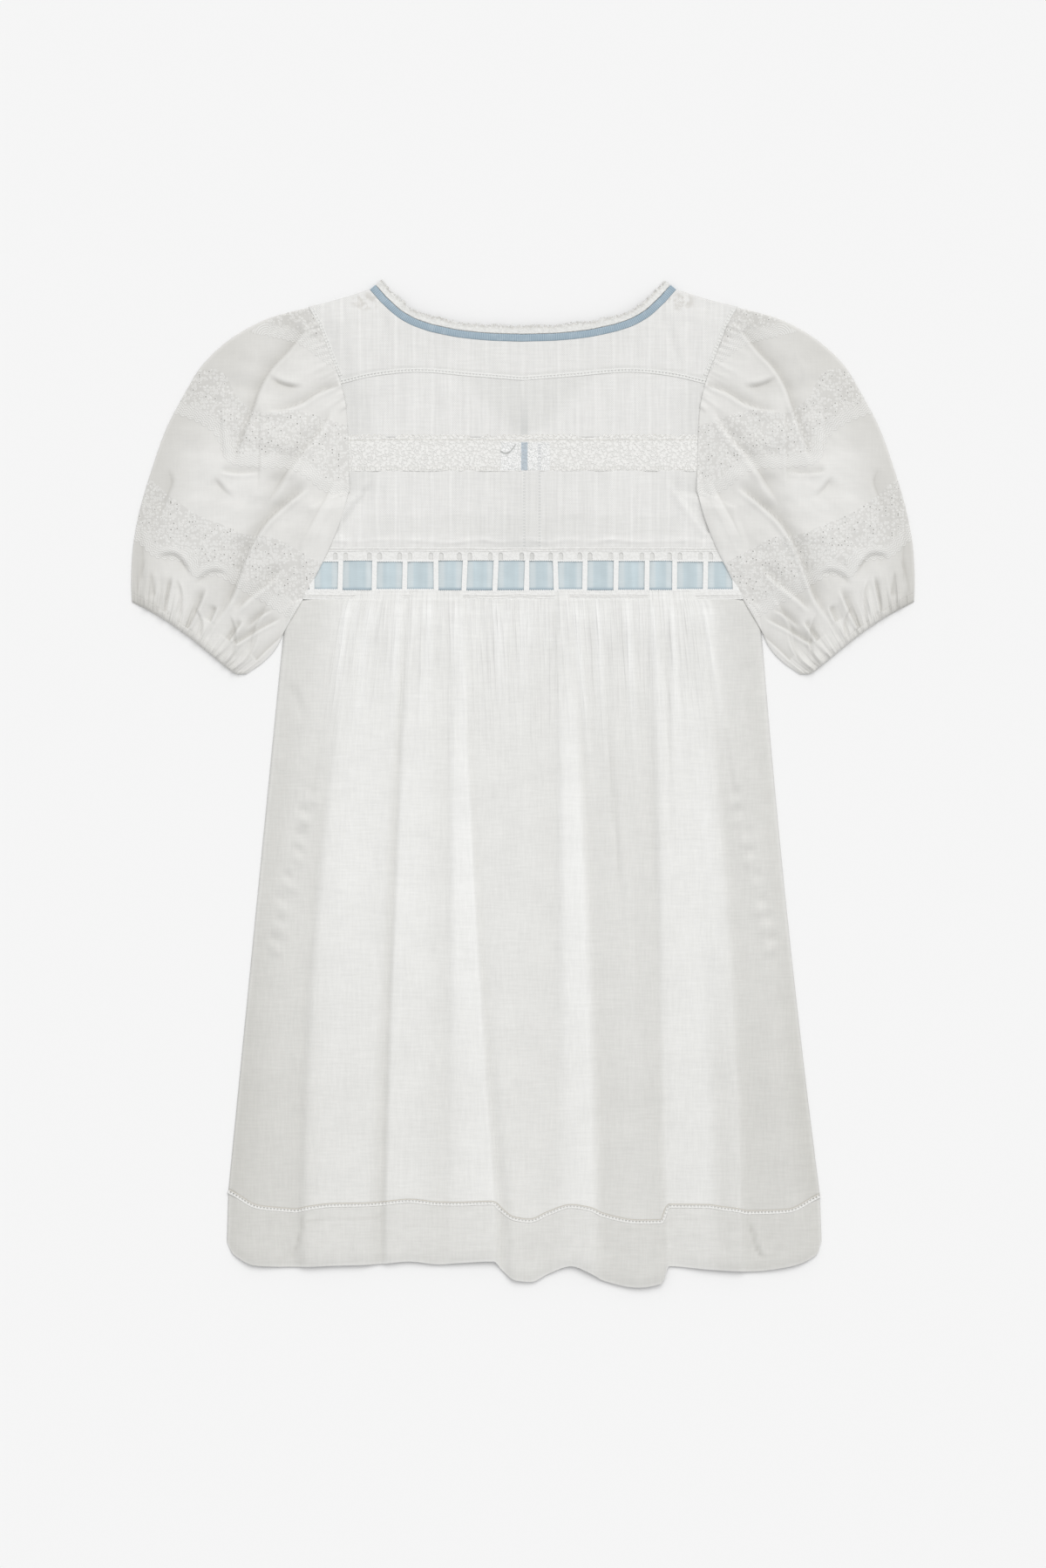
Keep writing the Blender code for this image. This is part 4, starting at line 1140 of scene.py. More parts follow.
BEADING_THREAD = lace("beading_thread", (0.85, 0.848, 0.832), (0.66, 0.655, 0.635), 0.28, 0.3)
_, up = split(BEADING_THREAD.place())
BEADING_THREAD.over(between(up, 164 * MM, 166 * MM) * between(up, 192 * MM, 190 * MM) * 0.8, BAR_WHITE)
for line_y, share in ((200.1, 0.34), (198.0, 0.16), (159.9, 0.34)):
    BEADING_THREAD.over(near(up, line_y, 0.7, 0.2) * share, RAIL_GREY)
beading = filled_curve("beading_band", beading_outline(), BAND_TOP, 0.5, BEADING_THREAD)
select(beading, *[cord_line(*cord) for cord in CORDS])
bpy.ops.object.join()
place(beading, "back_beading", "lace", flat=(0.3734, 0.0442), area=0.011)

# %% [markdown]
# The ribbon is satin, which shines along its length and has a darker woven edge. Its shine is also
# painted, as lighter streaks and as a lighter strip where it bends under each bar, and its edge is
# darkened further by painted shade under the band. It billows a little between the bars and is
# pressed down under them. One ribbon runs through the back's band and one through the front's, so
# the same strip is laid twice.

# %% Ribbon
BAR_BEND_LIGHT = (0.72, 0.755, 0.76)


def satin(name, light, dark):
    """Blue satin ribbon: a soft shine with painted sheen streaks and a painted highlight at the bars, and darker
    woven edges with painted shade along them.
    """
    paint = Paint(name, Roughness=0.45, Sheen_Weight=0.2)
    # painted sheen: lighter streaks across the ribbon
    painted_sheen = tuple(min(1.0, value * 1.16) for value in light)
    paint.colour = blend(between(noise(paint.place(), (110.0, 6.0, 1.0)), 0.35, 0.80), light, painted_sheen)
    # painted highlight where the ribbon bends down under the bars
    paint.over(paint.mark("bar_bend_light") * 0.5, BAR_BEND_LIGHT)
    # darker woven edges, with painted shade where they run under the band's rails
    paint.over(paint.mark("edge"), dark)
    paint.shade(between(noise(paint.place(), (90.0, 1600.0, 1.0)), 0.2, 0.8, 0.95, 1.04, "LINEAR"))
    return paint


RIBBON_SATIN = satin("ribbon_satin", (0.514, 0.602, 0.638), (0.37, 0.463, 0.527))
RIBBON_MIDDLE, RIBBON_WIDE = (WAIST_Y + RAIL_BOTTOM + BEADING_TOP_Y - RAIL_TOP) / 2, 26.4
RIBBONS = ("back_ribbon", "ribbon_over", RIBBON_TOP), ("front_ribbon", "ribbon_under", UNDER_RIBBON_TOP)
for node_name, name, height in RIBBONS:
    x, up = np.meshgrid(np.linspace(-BAND_HALF, BAND_HALF, 300), evenly(24))
    off_bar = np.min(np.abs(x[..., None] - np.array(BARS)), axis=-1)
    z = height - 0.35 + 0.45 * ease(off_bar, 0, 9) + 0.12 * ripple(x, up * 26, 12, 12.0)
    edge = np.maximum(ease(up, 0.1, 0.065), ease(up, 0.935, 0.97))
    marks = {"edge": edge, "bar_bend_light": ease(off_bar, 8.4, 6)}
    piece = cloth(name, x, RIBBON_MIDDLE + (up - 0.5) * RIBBON_WIDE, z, RIBBON_SATIN, marks=marks, thick=0.3)
    place(piece, node_name, "ribbon", flat=(2 * BAND_HALF * MM, RIBBON_WIDE * MM))


# %% [markdown]
# ## The sleeves
# Each sleeve is a full puff, gathered into the armhole and into a narrow elastic edge, and it lies
# flattened. It is one tube: a domed upper side with all the creases, and a plain underside. A closed
# bag would be simpler, but the tube ends where the real one does, at its seams.

# %% Sleeve outline
SLEEVE_OUTER = (
    (183, 407), (203, 402), (224, 395), (251, 379.5), (274, 358), (289, 334), (305, 303.5),
    (317, 270), (327, 236.5), (333, 206), (335, 177.5), (334.5, 155.5),
)
SLEEVE_CUFF = ((334.5, 155.5), (310, 142), (286, 125.5), (262, 106), (247, 94.5), (237, 93.5))
SLEEVE_INNER = (
    (149, 249), (155.7, 225), (167.6, 196), (186, 160.5), (203, 132), (211, 116), (222, 104), (237, 93.5),
)
PUFF, SEWN_EDGE = 10.5, 0.8  # how high the sleeve stands, in its middle and at its edges
SLEEVE_LONG, CUFF_LONG, ARMHOLE_LONG = 270.0, 118.0, 165.0


def sleeve_plan(across, along):
    """A point of the right sleeve: across from its inner edge, along from its armhole."""
    armhole_y = reach(ARMHOLE[::-1], across)[1]
    armhole = side_half(armhole_y), armhole_y
    cuff, inner, outer = reach(SLEEVE_CUFF[::-1], across), reach(SLEEVE_INNER, along), reach(SLEEVE_OUTER, along)
    corners = ARMHOLE[-1], ARMHOLE[0], SLEEVE_CUFF[-1], SLEEVE_CUFF[0]
    return tuple(
        mix(armhole[axis], cuff[axis], along) + mix(inner[axis], outer[axis], across)
        - mix(*(mix(start[axis], end[axis], across) for start, end in (corners[:2], corners[2:])), along)
        for axis in (0, 1)
    )


def sleeve_lift(x, y):
    """How far the sleeve is raised where it lies over the side of the body."""
    body = np.where(y >= WAIST_Y, side_half(y), skirt_side(y))
    inside = body - x
    skirt_top = mix(BACK_TOP, BACK_EDGE_TOP, ease(WAIST_Y - y, 0, 518 * WAIST_SLOPE)) - 0.2
    edge_low = 0.7 + 2.4 * ease(WAIST_Y - y, 14, 0)
    over_skirt = mix(skirt_top, edge_low, (1.0 - np.clip(inside / ROLL, 0.0, 1.0)) ** 2)
    over_bodice = BACK_EDGE_TOP + 2.4 * ease(inside, 0, 22)
    top = mix(over_skirt, over_bodice, ease(y, 150, 162))
    return (top - 0.2) * ease(inside, -6, 0) * ease(y, 272, 252)


print("sleeve corner:", [round(float(value), 1) for value in sleeve_plan(np.array(1.0), np.array(1.0))])

# %% [markdown]
# A gathered sleeve creases in two ways: long folds that run from the armhole and the cuff across
# the puff, and small tucks that start in the gathers. The long ones give it its look, so each is
# listed with its own line, width and depth. The tucks are too many to list, and dice place them.

# %% Sleeve creases
# points, width, depth, bank, fade in, fade out, soft; the left sleeve's are mirrored
SLEEVE_CREASES = (
    (((186, 389), (202, 369), (215, 355), (225, 338), (230, 323), (237, 303), (244, 283), (247, 268)),
     2.8, 4.6, 1.8, 0.04, 0.2, 2.6),
    (((257, 332), (258, 301), (254, 272)), 3, 1.4, 1, 0.4, 0.3, 1.6),
    (((228, 374), (239, 356), (243, 336)), 7, -2.2, 0, 0.3, 0.5),
    (((219, 349), (208, 342), (196, 339), (186, 340)), 3, 4, 1.4, 0.4, 0.4, 2.2),
    (((157, 341), (174, 335), (188, 326), (205, 320), (222, 319)), 2.6, 3.8, 1.4, 0.02, 0.3, 2.4),
    (((225, 322), (225, 284), (226, 246)), 1.8, 1.2, 0.8, 0.15, 0.3, 1.6),
    (((222, 267), (242, 265), (259, 267)), 2.2, 2.2, 1.2, 0.3, 0.15, 1.8),
    (((264, 262), (257, 252), (246, 242)), 3.2, 2.4, 0.8, 0.3, 0.6, 2),
    (((163, 322), (170, 308), (182, 292), (200, 269), (214, 246), (224, 233)), 4.2, 3.6, 1.6, 0.2, 0.3, 2),
    (((182, 255), (200, 241), (217, 226), (228, 211), (237, 194), (244, 174), (251, 157), (260, 143), (270, 128)),
     3, 5, 2.4, 0.12, 0.3, 2.4),
    (((159, 264), (171, 240), (183, 217), (190, 200)), 5, 2.2, 1.4, 0.25, 0.4, 1.4),
    (((156, 250), (171, 222), (188, 186), (201, 158)), 6, -2, 0, 0.15, 0.3),
    (((202, 187), (219, 171), (237, 157), (247, 146)), 3.2, 4, 1.8, 0.25, 0.2, 2.2),
    (((205, 143), (228, 131), (247, 119)), 2.2, 4.4, 2.2, 0.25, 0.05, 2),
    (((199, 133), (219, 115), (229, 105)), 2, 4.2, 2.2, 0.3, 0.05, 1.8),
    (((213, 150), (226, 143), (238, 132)), 2.2, 3.4, 1.8, 0.3, 0.3, 1.8),
    (((314, 193), (299, 195), (290, 187), (283, 173)), 3.2, 3.2, 1, 0.2, 0.4, 2.2),
    (((282, 168), (270, 179), (258, 180), (250, 174)), 3.2, 2.2, 0.7, 0.3, 0.4, 2),
    (((271, 168), (279, 149), (287, 132)), 2.2, 4.4, 2.2, 0.3, 0.05, 1.8),
    (((300, 178), (304, 160), (306, 146)), 2.2, 4, 2, 0.3, 0.05, 1.8),
    (((304, 270), (300, 257), (306, 241), (312, 222)), 3.6, 2.4, 0.8, 0.25, 0.4, 1.6),
    (((318, 182), (315, 158)), 2.8, 2.2, 1.2, 0.3, 0.2, 1.6),
    (((328, 226), (325, 196), (326, 168)), 3, 1.6, 1, 0.3, 0.2, 1.4),
    (((262, 152), (268, 138)), 2, 3.6, 1.8, 0.3, 0.1, 1.6),
    (((240, 140), (252, 122)), 2, 3.8, 1.8, 0.3, 0.05, 1.6),
    (((188, 398), (204, 391), (222, 384)), 3, 1.2, 0.8, 0.1, 0.5, 1.5),
    (((213, 163), (223, 146), (230, 132), (234, 110)), 2.2, 1.8, 1.2, 0.3, 0.25, 2),
    (((296, 176), (292, 160), (293, 140)), 1.7, 1.7, 1.2, 0.3, 0.2, 1.8),
    (((251, 146), (246, 128), (247, 106)), 1.7, 1.6, 1.2, 0.3, 0.2, 1.8),
    (((322, 194), (328, 176), (330, 160)), 1.8, 1.4, 1, 0.3, 0.2, 1.6),
    (((226, 134), (230, 118), (237, 103)), 1.6, 1.6, 1.2, 0.3, 0.2, 1.8),
    (((281, 152), (275, 138), (276, 122)), 1.6, 1.6, 1, 0.3, 0.2, 1.6),
)


def tucks(place_mm, distance, seed, count, span, longs, talls, wides, lean=0.12):
    """Small tucks that start at a gathered seam: their places along it and distances from it, in mm."""
    dice = np.random.default_rng(seed)
    height = np.zeros(np.broadcast(place_mm, distance).shape)
    start, end = span
    gap = (end - start) / count
    for index in range(count):
        at = start + (index + 0.5 + dice.uniform(-0.35, 0.35)) * gap
        long, tall, wide = dice.uniform(*longs), dice.uniform(*talls), dice.uniform(*wides)
        drift = dice.uniform(-lean, lean)
        fade = smooth(1.0 - distance / long)
        height += tall * fade * bell(place_mm - at - drift * distance, wide * (1 + distance / long))
    return height


def rounded(share):
    """A quarter circle: 0 at 0, rising steeply, and level with 1 from 1 on."""
    return np.sqrt(1.0 - (1.0 - np.clip(share, 0.0, 1.0)) ** 2)


def sleeve_dome(across, along, x, y):
    """Height of the sleeve's upper side over its edge, with its creases and gathers."""
    inside = np.clip(across, 0.0, 1.0)
    ends = ease(along, 0, 0.3) * (1.0 - 0.88 * ease(along, 0.5, 1))
    body = mix(SEWN_EDGE, PUFF, ends)
    folds = creases(x, y, SLEEVE_CREASES, sharp=True) * ease(along, 0, 0.06) * ease(along, 1, 0.96)
    folds += (0.65 * ripple(x, y, 20, 30.0) + 0.22 * ripple(x, y, 21, 13.0)) * ends
    from_cuff, on_cuff, on_armhole = (1.0 - along) * SLEEVE_LONG, inside * CUFF_LONG, inside * ARMHOLE_LONG
    gathers = tucks(on_cuff, from_cuff, 30, 20, (0, CUFF_LONG), (30, 76), (1.2, 3.0), (1.3, 2.3), 0.20)
    gathers += tucks(on_cuff, from_cuff, 35, 44, (0, CUFF_LONG), (8, 24), (0.8, 2.0), (0.6, 1.1))
    head = (70, ARMHOLE_LONG), (10, 36), (0.6, 1.5), (1.1, 1.9)
    gathers += tucks(on_armhole, along * SLEEVE_LONG, 31, 20, *head)
    whole = np.sin(math.pi * inside) ** 0.7 * (body + folds) + gathers * smooth(np.sin(math.pi * inside) / 0.35)
    return whole * (0.35 + 0.65 * rounded(from_cuff / 9.0))


print("creases:", len(SLEEVE_CREASES))

# %% [markdown]
# Three bands of white embroidery cross each sleeve: small eyelets and satin rings above, and wavy
# rows of stitches below, down to a scalloped edge. Each band is given by its two edges. A table of
# motifs would look copied, so cells scattered by the shader place them.

# %% Embroidered sleeve cotton
# the upper edge and the scalloped lower edge of each band, from outside in
BANDS = (
    (((300, 352), (259, 353), (244, 330), (223, 316), (194, 319), (150, 306)),
     ((312, 322), (298, 316), (276, 307), (262, 296), (252, 274), (226, 269), (200, 268), (184, 260), (172, 250),
      (146, 243))),
    (((345, 268), (319, 260), (305, 248), (279, 230), (259, 222), (238, 213), (211, 209), (180, 192)),
     ((345, 212), (331, 207), (315, 193), (291, 189), (281, 176), (261, 177), (238, 163), (223, 155), (205, 144),
      (190, 136))),
    (((223, 393), (201, 405), (172, 412)), ((219, 382), (201, 378), (190, 374), (179, 367), (166, 357))),
)
BAND_WHITE, EYELET_SHADE, STITCH_WHITE = (0.84, 0.835, 0.815), (0.34, 0.33, 0.31), (0.88, 0.88, 0.86)


def band_marks(x, y):
    """For the finish: how far inside a band each point is, and how far above its lower edge, in mm."""
    marks = {"inside": np.full(x.shape, -30.0), "above": np.full(x.shape, 60.0), "lobes": np.zeros(x.shape)}
    for upper, lower in BANDS:
        from_upper, _ = beside(x, y, upper)
        from_lower, along = beside(x, y, lower)
        lobes = along * 3 * len(lower)
        from_lower = -from_lower - 2.2 * (1.0 - np.abs(np.sin(math.pi * lobes)))
        depth = np.minimum(from_upper, from_lower)
        better = depth > marks["inside"]
        for name, values in (("inside", depth), ("above", from_lower), ("lobes", lobes)):
            marks[name] = np.where(better, values, marks[name])
    return marks


def embroidered(name, thin, full):
    """Sleeve cotton with bands of eyelets, satin rings and wavy rows above a scalloped edge."""
    paint = cotton(name, thin, full, crinkle=0.30, weave_share=0.5)
    inside, above = paint.mark("inside"), paint.mark("above")
    in_band = between(inside, -0.3, 0.6)
    distance, cell_colour = voronoi(paint.place(), 370.0, 0.75)
    low_part = between(above, 13.0, 7.0) * in_band
    high_part = (1.0 - low_part) * in_band
    eyelet = between(distance, 0.32, 0.22) * between(split(cell_colour)[0], 0.78, 0.80)
    ring = between(distance, 0.24, 0.32) * between(distance, 0.46, 0.38)
    wave = math_node("SINE", paint.mark("lobes") * (2 * math.pi * 3)) * 0.5
    rows = math_node("SINE", above * math.pi + wave * 2.2)
    stitch = ring * high_part + between(rows, -0.4, 0.6) * low_part
    hole = eyelet * high_part
    edge = between(inside, -0.7, -0.1) * between(above, 1.1, 0.3)
    rim = between(distance, 0.46, 0.60) * high_part * 0.19
    paint.over(in_band * 0.22, BAND_WHITE)
    # painted shade in the eyelets, between the wavy rows and round the satin rings
    paint.over(hole * 0.76 + between(rows, -0.1, -0.9) * low_part * 0.19 + rim, EYELET_SHADE)
    paint.over(stitch * 0.50, STITCH_WHITE)
    paint.bump(stitch + edge - hole * 1.2, 0.4, 0.0005)
    return paint


SLEEVE_COTTON = embroidered("embroidered_cotton", (0.60, 0.59, 0.56), (0.84, 0.835, 0.815))
print("bands:", len(BANDS))

# %% [markdown]
# Each sleeve and each cuff is a tube: round once, over the top and back under. The same function
# makes all four, and the left ones are the right ones mirrored. The cuff is only the last few
# millimetres, rolled over the elastic, and stays a piece of its own as it is in the frame.

# %% Sleeves and cuffs
TOP_COLUMNS, UNDER_COLUMNS, HALF_WALL, CUFF_SHARE = 160, 30, 0.9, 0.976


def sleeve_tone_and_shade(x, y, across, from_cuff, edge_mm):
    """Tone of the sleeve, mostly painted light and shade: darker in its creases, at its gathered cuff and along its
    outer side, lighter over its puff, near its inner side and at its edges, with a little random tone.
    """
    full = 0.68 + 0.04 * ripple(x, y, 60, 50.0) + 0.10 * np.minimum(creases(x, y, SLEEVE_CREASES, sharp=True), 0.0)
    full += 0.16 * spot(x - 262.0, 38.0, y - 255.0, 55.0) + 0.10 * ease(x, 205, 165)
    full += 0.18 * spot(x - 207.0, 26.0, y - 383.0, 15.0) - 0.16 * spot(x - 157.0, 9.0, y - 210.0, 24.0)
    full -= 0.44 * ease(across, 0.7, 0.98) + 0.26 * ease(from_cuff, 14, 0)
    return full + 0.09 * crease_shade_lines(x, y, SLEEVE_CREASES) + 0.25 * ease(edge_mm, 2.6, 0)


def sleeve_tube(name, sign, alongs, cuff=False):
    """A flattened tube round the sleeve's outline: its domed upper side, then its flat underside."""
    ring = np.concatenate([crowded(TOP_COLUMNS, 0.75), 1.0 - crowded(UNDER_COLUMNS, 0.9)[1:]])
    upper = np.arange(len(ring)) <= TOP_COLUMNS
    across, along = np.meshgrid(ring, alongs)
    x, y = sleeve_plan(across, along)
    x = x - 0.7 * (along == 0.0)
    edge_mm = np.minimum(across, 1.0 - across) * mix(ARMHOLE_LONG, CUFF_LONG, along)
    from_cuff = (1.0 - along) * SLEEVE_LONG
    wall = HALF_WALL * rounded(edge_mm / 2.2)
    middle = sleeve_lift(x, y) + HALF_WALL
    top, under = middle + wall + sleeve_dome(across, along, x, y), middle - wall
    if cuff:
        end = rounded(from_cuff / 2.0)
        top, under = mix(middle + 0.1, top + 0.15, end), mix(middle - 0.1, np.maximum(under - 0.1, 0.0), end)
    marks = band_marks(x, y)
    marks["layers"] = sleeve_tone_and_shade(x, y, across, from_cuff, edge_mm)
    marks["along_seam"], marks["from_seam"] = across * CUFF_LONG, from_cuff
    marks["gather"] = 0.9 * ease(from_cuff, 46, 0)
    x, y, z, *values = (value[:, ::sign] for value in (sign * x, y, np.where(upper, top, under), *marks.values()))
    return cloth(name, x, y, z, SLEEVE_COTTON, marks=dict(zip(marks, values)), thick=0.4, around=True)


for side, sign in (("left", -1), ("right", 1)):
    piece = sleeve_tube("puff_sleeve_" + side, sign, evenly(240)[::-1] * CUFF_SHARE)
    held = {"held": "gathered", "rests_on": "front_bodice_" + side}
    place(piece, "sleeve_" + side, "sleeve_cotton", flat=(0.42, 0.29), area=0.095, **held)
    piece = sleeve_tube("cuff_roll_" + side, sign, np.linspace(1.0, 0.974, 9), cuff=True)
    place(piece, "cuff_" + side, "sleeve_cotton", flat=(0.24, 0.01), area=0.0018, held="gathered")


# %% [markdown]
# ## The neck
# A narrow blue cord-like binding covers the neck seam, and beyond it stands old net edging whose
# outer edge has worn to an uneven fringe. The binding is a crowned strip with fine ribs across it.
# The edging is a strip too, of thread that turns grey towards its outer edge. The ribs and the net
# could be cut as geometry, but they are only a millimetre wide, so the finishes draw them.

# %% Ribbed binding and worn net
RIB_PITCH, FADED, WORN = 1.6, (0.52, 0.61, 0.68), (0.47, 0.45, 0.41)


def ribbed(name, light, dark):
    """Blue ribbed braid: ribs across it, counted by the length along it, with painted light on their crowns and
    painted shade between them.
    """
    paint = Paint(name, Roughness=0.75)
    ribs = between(waves(split(paint.place("UV"))[0], RIB_PITCH), -0.8, 0.8)
    # painted light on the crowns of the ribs and painted shade between them
    paint.colour = blend(ribs, dark, light)
    paint.over(between(noise(paint.place(), 160.0, 3.0), 0.45, 0.8) * 0.4, FADED)
    paint.bump(ribs, 0.5, 0.0004)
    return paint


BINDING = ribbed("blue_binding", (0.40, 0.50, 0.57), (0.29, 0.385, 0.465))
EDGING = lace("worn_edging", (0.81, 0.81, 0.79), (0.62, 0.62, 0.60), 0.25, 0.4)
worn = between(EDGING.mark("worn"), 0.35, 1.0) * between(noise(EDGING.place(), 420.0), 0.30, 0.62)
EDGING.over(worn * 0.65, WORN)


def strip_points(height_at, start, end, near, far, step, rows):
    """A strip along y = height_at(x), between two distances above it: x, y, and length and share across."""
    middle_x = np.linspace(start, end, 400)
    run, _, _ = along_line(middle_x, height_at(middle_x))
    at = np.linspace(0.0, run[-1], max(2, round(run[-1] / step)))
    x = np.interp(at, run, middle_x)
    y = height_at(x)
    after, before = np.minimum(x + 1, end), np.maximum(x - 1, start)
    slope = (height_at(after) - height_at(before)) / (after - before)
    size = np.hypot(1.0, slope)
    share = evenly(rows)[:, None]
    away = mix(near, far, share)
    return x - slope / size * away, y + away / size, np.broadcast_to(at, (rows + 1, len(at))), share


def woven_along(piece, along, across):
    """Set a strip's UV map to its own length and width, in metres, so that its ribs follow it."""
    values = np.stack(np.broadcast_arrays(along, across), axis=-1).reshape(-1, 2) * MM
    lay_flat(piece.data, np.tile(values, (2, 1)))  # twice: once for each side of the wall


PLACKET_X, PLACKET_HALF, PLACKET_BINDING, FRONT_NECK_Y = 1.5, 20.8, 5.0, 300.0
PLACKET_LEFT, PLACKET_RIGHT = PLACKET_X - PLACKET_HALF - SEAM, PLACKET_X + PLACKET_HALF + SEAM
NECK_TIP = NECK_LINE[-1][0]


def front_neck_y(x):
    """The front neckline, a plain V from the shoulders down to the corners of the placket."""
    corner = PLACKET_HALF + SEAM
    share = (np.abs(x - PLACKET_X * (1 - np.abs(x) / NECK_TIP)) - corner) / (NECK_TIP - corner)
    return mix(FRONT_NECK_Y, NECK_LINE[-1][1], share)


# name, node, line, start, end, rise
BINDINGS = (
    ("neck_binding", "back_neck_binding", neck_y, -NECK_TIP, NECK_TIP, 0.55),
    ("front_binding_left", "front_neck_binding_left", front_neck_y, -NECK_TIP, PLACKET_LEFT, 0.35),
    ("front_binding_right", "front_neck_binding_right", front_neck_y, PLACKET_RIGHT, NECK_TIP, 0.35),
)
for name, node_name, line, start, end, rise in BINDINGS:
    x, y, along, share = strip_points(line, start, end, SEAM / 2, SEAM / 2 + NECK_BINDING, 1.4, 10)
    low = back_top(x, y) - 0.05 if line is neck_y else np.full(x.shape, 0.6)
    piece = cloth(name, x, y, low + crowned(share, rise), BINDING, thick=0.5)
    woven_along(piece, along, share * NECK_BINDING)
    length = float(along[0, -1]) * MM
    place(piece, node_name, "binding", flat=(length, 0.01), area=length * NECK_BINDING * MM)

# %% [markdown]
# The net edging beyond the binding has worn unevenly. Its outer edge moves in and out, and some of
# its last cells are left out by dice, most at the very edge. Loose hairs would also look worn, but
# at this scale they would be single grey specks.

# %% Worn net edging
NET_STEP, NET_WIDE, CELLS_GONE = 0.55, 6.9, (0.10, 0.25, 0.45)
x, y, along, share = strip_points(neck_y, -NECK_TIP, NECK_TIP, 0.0, 1.0, NET_STEP, 10)
near_x, near_y, _, _ = strip_points(
    neck_y, -NECK_TIP, NECK_TIP, NECK_BINDING + 2 * SEAM, NECK_BINDING + SEAM, NET_STEP, 10
)
dice = np.random.default_rng(77)
still = np.zeros(x.shape[1])
edge = NET_WIDE + 0.6 * ripple(along[0], still, 14, 22.0) + 0.5 * ripple(along[0], still, 15, 4.0)
edge = np.clip(edge + 0.4 * dice.uniform(-1.0, 1.0, x.shape[1]), 4.0, 8.3)
out_x, out_y = x[-1] - x[0], y[-1] - y[0]
x = near_x[:1] + out_x * edge * share
y = near_y[:1] + out_y * edge * share
keep = np.ones((x.shape[0] - 1, x.shape[1] - 1), bool)
keep[7:] = dice.random(keep[7:].shape) > np.array(CELLS_GONE)[:, None]
z = back_top(x, y) - 0.2 - 0.5 * share + 0.12 * ripple(x, y, 16, 6.0)
edging = cloth("worn_net_edging", x, y, z, EDGING, keep=keep, marks={"worn": share}, thick=0.25)
place(edging, "back_neck_edging", "lace", flat=(0.33, 0.01), area=0.0019)

# %% [markdown]
# ## The front
# The front lies face down on the floor. Its layers are plain and flat underneath, with shallow
# creases pressed into them. They show at the open neck, through the lace window and from below.
# Folds as deep as the back's would lift them off the floor, and hardly any would be seen.

# %% Front of the dress
FRONT_CREASES = (
    (((-120, 250), (-90, 290), (-70, 330)), 5, -0.7, 0),
    (((118, 260), (92, 300), (66, 335)), 5, -0.6, 0),
    (((-150, 120), (-158, -60), (-165, -300)), 8, -0.8, 0),
    (((-60, 140), (-66, -20), (-80, -320)), 7, -0.7, 0),
    (((40, 140), (52, 0), (58, -330)), 8, -0.8, 0),
    (((130, 130), (150, -80), (170, -320)), 7, -0.7, 0),
    (((-200, -40), (-185, -70), (-178, -110)), 5, -0.5, 0),
    (((205, -90), (190, -130), (180, -160)), 5, -0.5, 0),
)
FRONT_SEAM_Y, FRONT_HEM_Y, HEM_CORNER, HEM_CORNER_X = -352.0, -402.0, 12.0, 225.0
FRONT_Z, FRONT_TRIM_Z = 0.55, 0.62


def front_top(x):
    return np.minimum(front_neck_y(x), shoulder_y(x))


def front_hem(x):
    return FRONT_HEM_Y + HEM_CORNER * ease(np.abs(x), HEM_CORNER_X, HEM_CORNER_X + 30)


# the skirt's own sides, a hair inside them
skirt_sides = (lambda y: skirt_side(y, 0) + 1.6), (lambda y: skirt_side(y) - 1.6)
left_half, right_half = (left_side, level(PLACKET_LEFT)), (level(PLACKET_RIGHT), right_side)
half = PLACKET_BINDING / 2
left_facing = level(PLACKET_LEFT + SEAM), level(PLACKET_X - half - SEAM)
right_facing = level(PLACKET_X + half + SEAM), level(PLACKET_RIGHT - SEAM)
under_neck = level(BEADING_TOP_Y), moved(front_top, -SEAM / 2)
slit = level(BEADING_TOP_Y), level(FRONT_NECK_Y)
skirt_ends = level(FRONT_SEAM_Y + TRIM), level(WAIST_Y - SEAM)
hem_ends = front_hem, level(FRONT_SEAM_Y - SEAM)
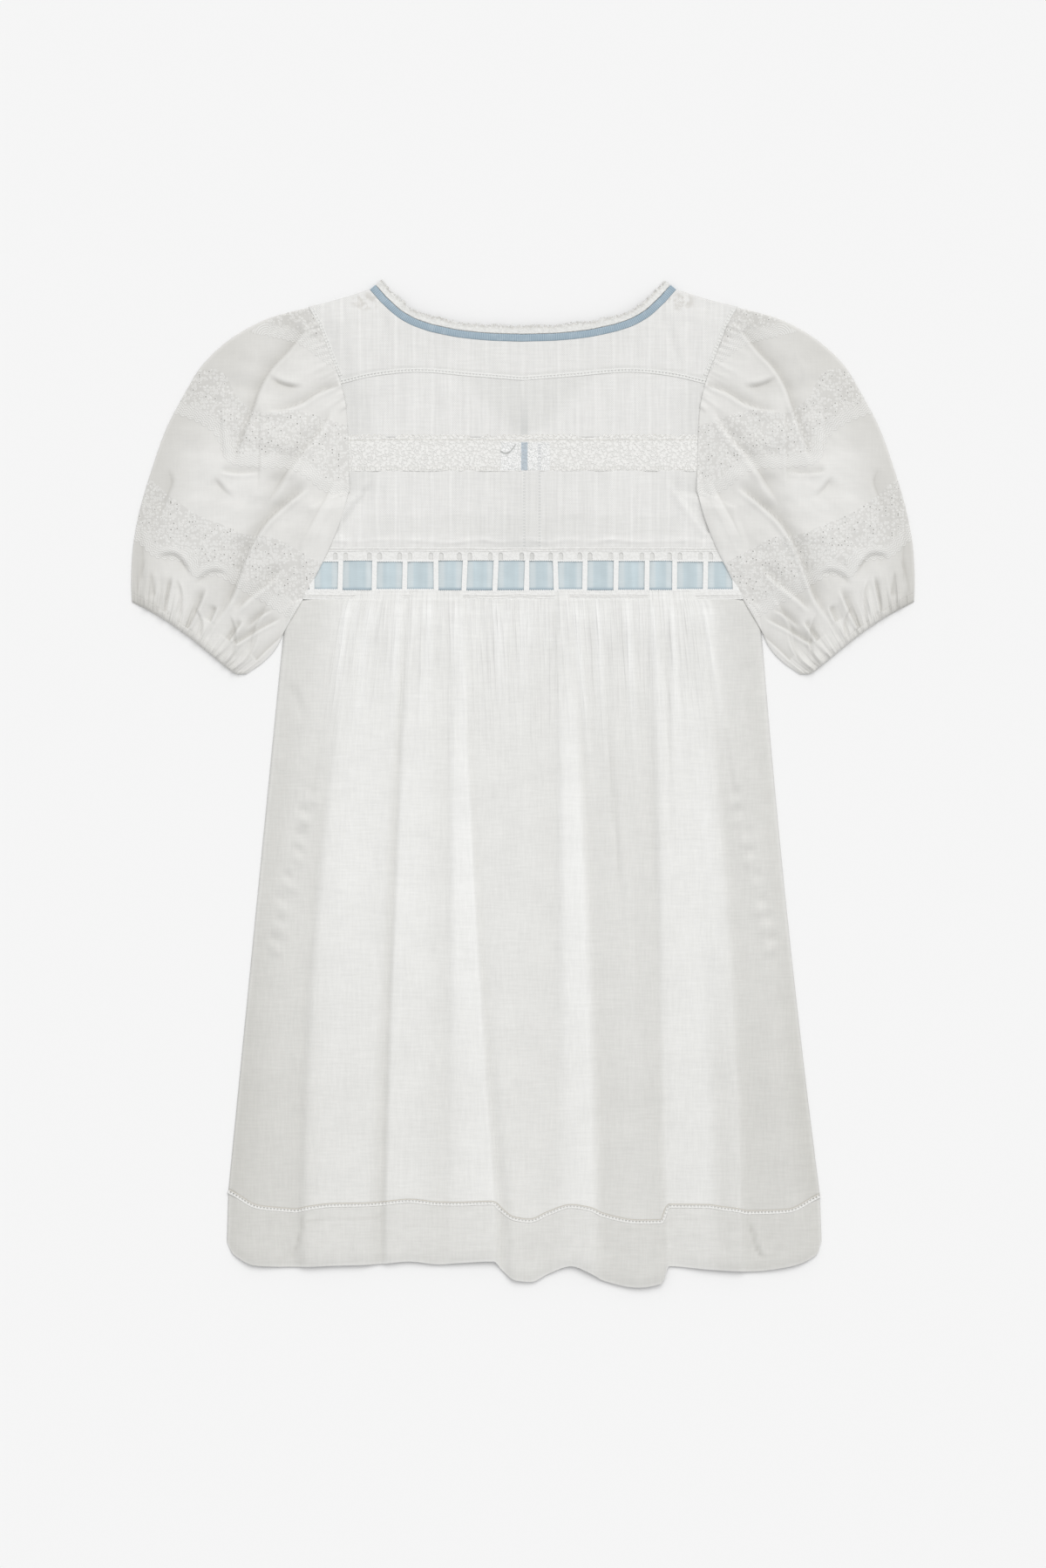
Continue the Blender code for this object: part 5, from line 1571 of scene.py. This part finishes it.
# name, node, sides, ends, columns, rows, finish, flat width and length, area
FRONT_PIECES = (
    ("front_left", "front_bodice_left", left_half, under_neck, 40, 50, BODICE_COTTON, (0.165, 0.215), 0.0205),
    ("front_right", "front_bodice_right", right_half, under_neck, 40, 50, BODICE_COTTON, (0.165, 0.215), 0.0205),
    ("placket_left", "front_placket_left", left_facing, slit, 8, 40, BODICE_COTTON, (0.018, 0.098), None),
    ("placket_right", "front_placket_right", right_facing, slit, 8, 40, BODICE_COTTON, (0.018, 0.098), None),
    ("front_skirt_panel", "front_skirt", skirt_sides, skirt_ends, 90, 90, SKIRT_COTTON, (0.50, 0.51), 0.235),
    ("front_hem", "front_hem_band", skirt_sides, hem_ends, 90, 10, SKIRT_COTTON, (0.506, 0.050), None),
)
for name, node_name, sides, ends, columns, rows, finish, flat, area in FRONT_PIECES:
    x, y = panel_points(*sides, *ends, evenly(columns), evenly(rows))
    below_waist = WAIST_Y - y
    marks = {"layers": 0.6, "along_seam": x, "from_seam": below_waist}
    if name == "front_skirt_panel":
        marks["layers"] = 0.6 + 0.14 * ripple(x, 0.04 * y, 31, 70.0)
        marks["gather"] = ease(below_waist, 170, 0)
    piece = cloth(name, x, y, FRONT_Z + creases(x, y, FRONT_CREASES), finish, marks=marks, thick=0.5)
    place(piece, node_name, "cotton", flat=flat, area=area)

# %% [markdown]
# The front's trims are the binding of its slit, its hem ladder and its own beading band. They only
# show from below and through the lace window, so they are plain. A beading with finer points would
# look no different there, so it uses the same outline as the back's.

# %% Trims of the front
def under_hem(x, y):
    return np.full(x.shape, FRONT_TRIM_Z)


x, y = panel_points(level(PLACKET_X - half), level(PLACKET_X + half), *slit, evenly(8), evenly(80))
piece = cloth("placket_binding", x, y, 0.6 + crowned((x - x[:, :1]) / PLACKET_BINDING, 0.5), BINDING, thick=0.5)
woven_along(piece, y, x)
place(piece, "front_placket_binding", "binding", flat=(0.01, 0.098), area=0.0005)
line_x, line_y = np.linspace(-251.0, 251.0, 60), np.full(60, FRONT_SEAM_Y + TRIM / 2)
ladder("front_hem_ladder", "front_hem_trim", line_x, line_y, under_hem, TRIM_THREAD, TRIM - 0.5)
front_band = filled_curve("front_beading_band", beading_outline(), 0.8, 0.7, TRIM_THREAD)
place(front_band, "front_beading", "lace", flat=(0.3734, 0.0442), area=0.011)


# %% Finish
low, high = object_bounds()
print("visual box:", [tuple(round(value, 4) for value in corner) for corner in (low, high)])
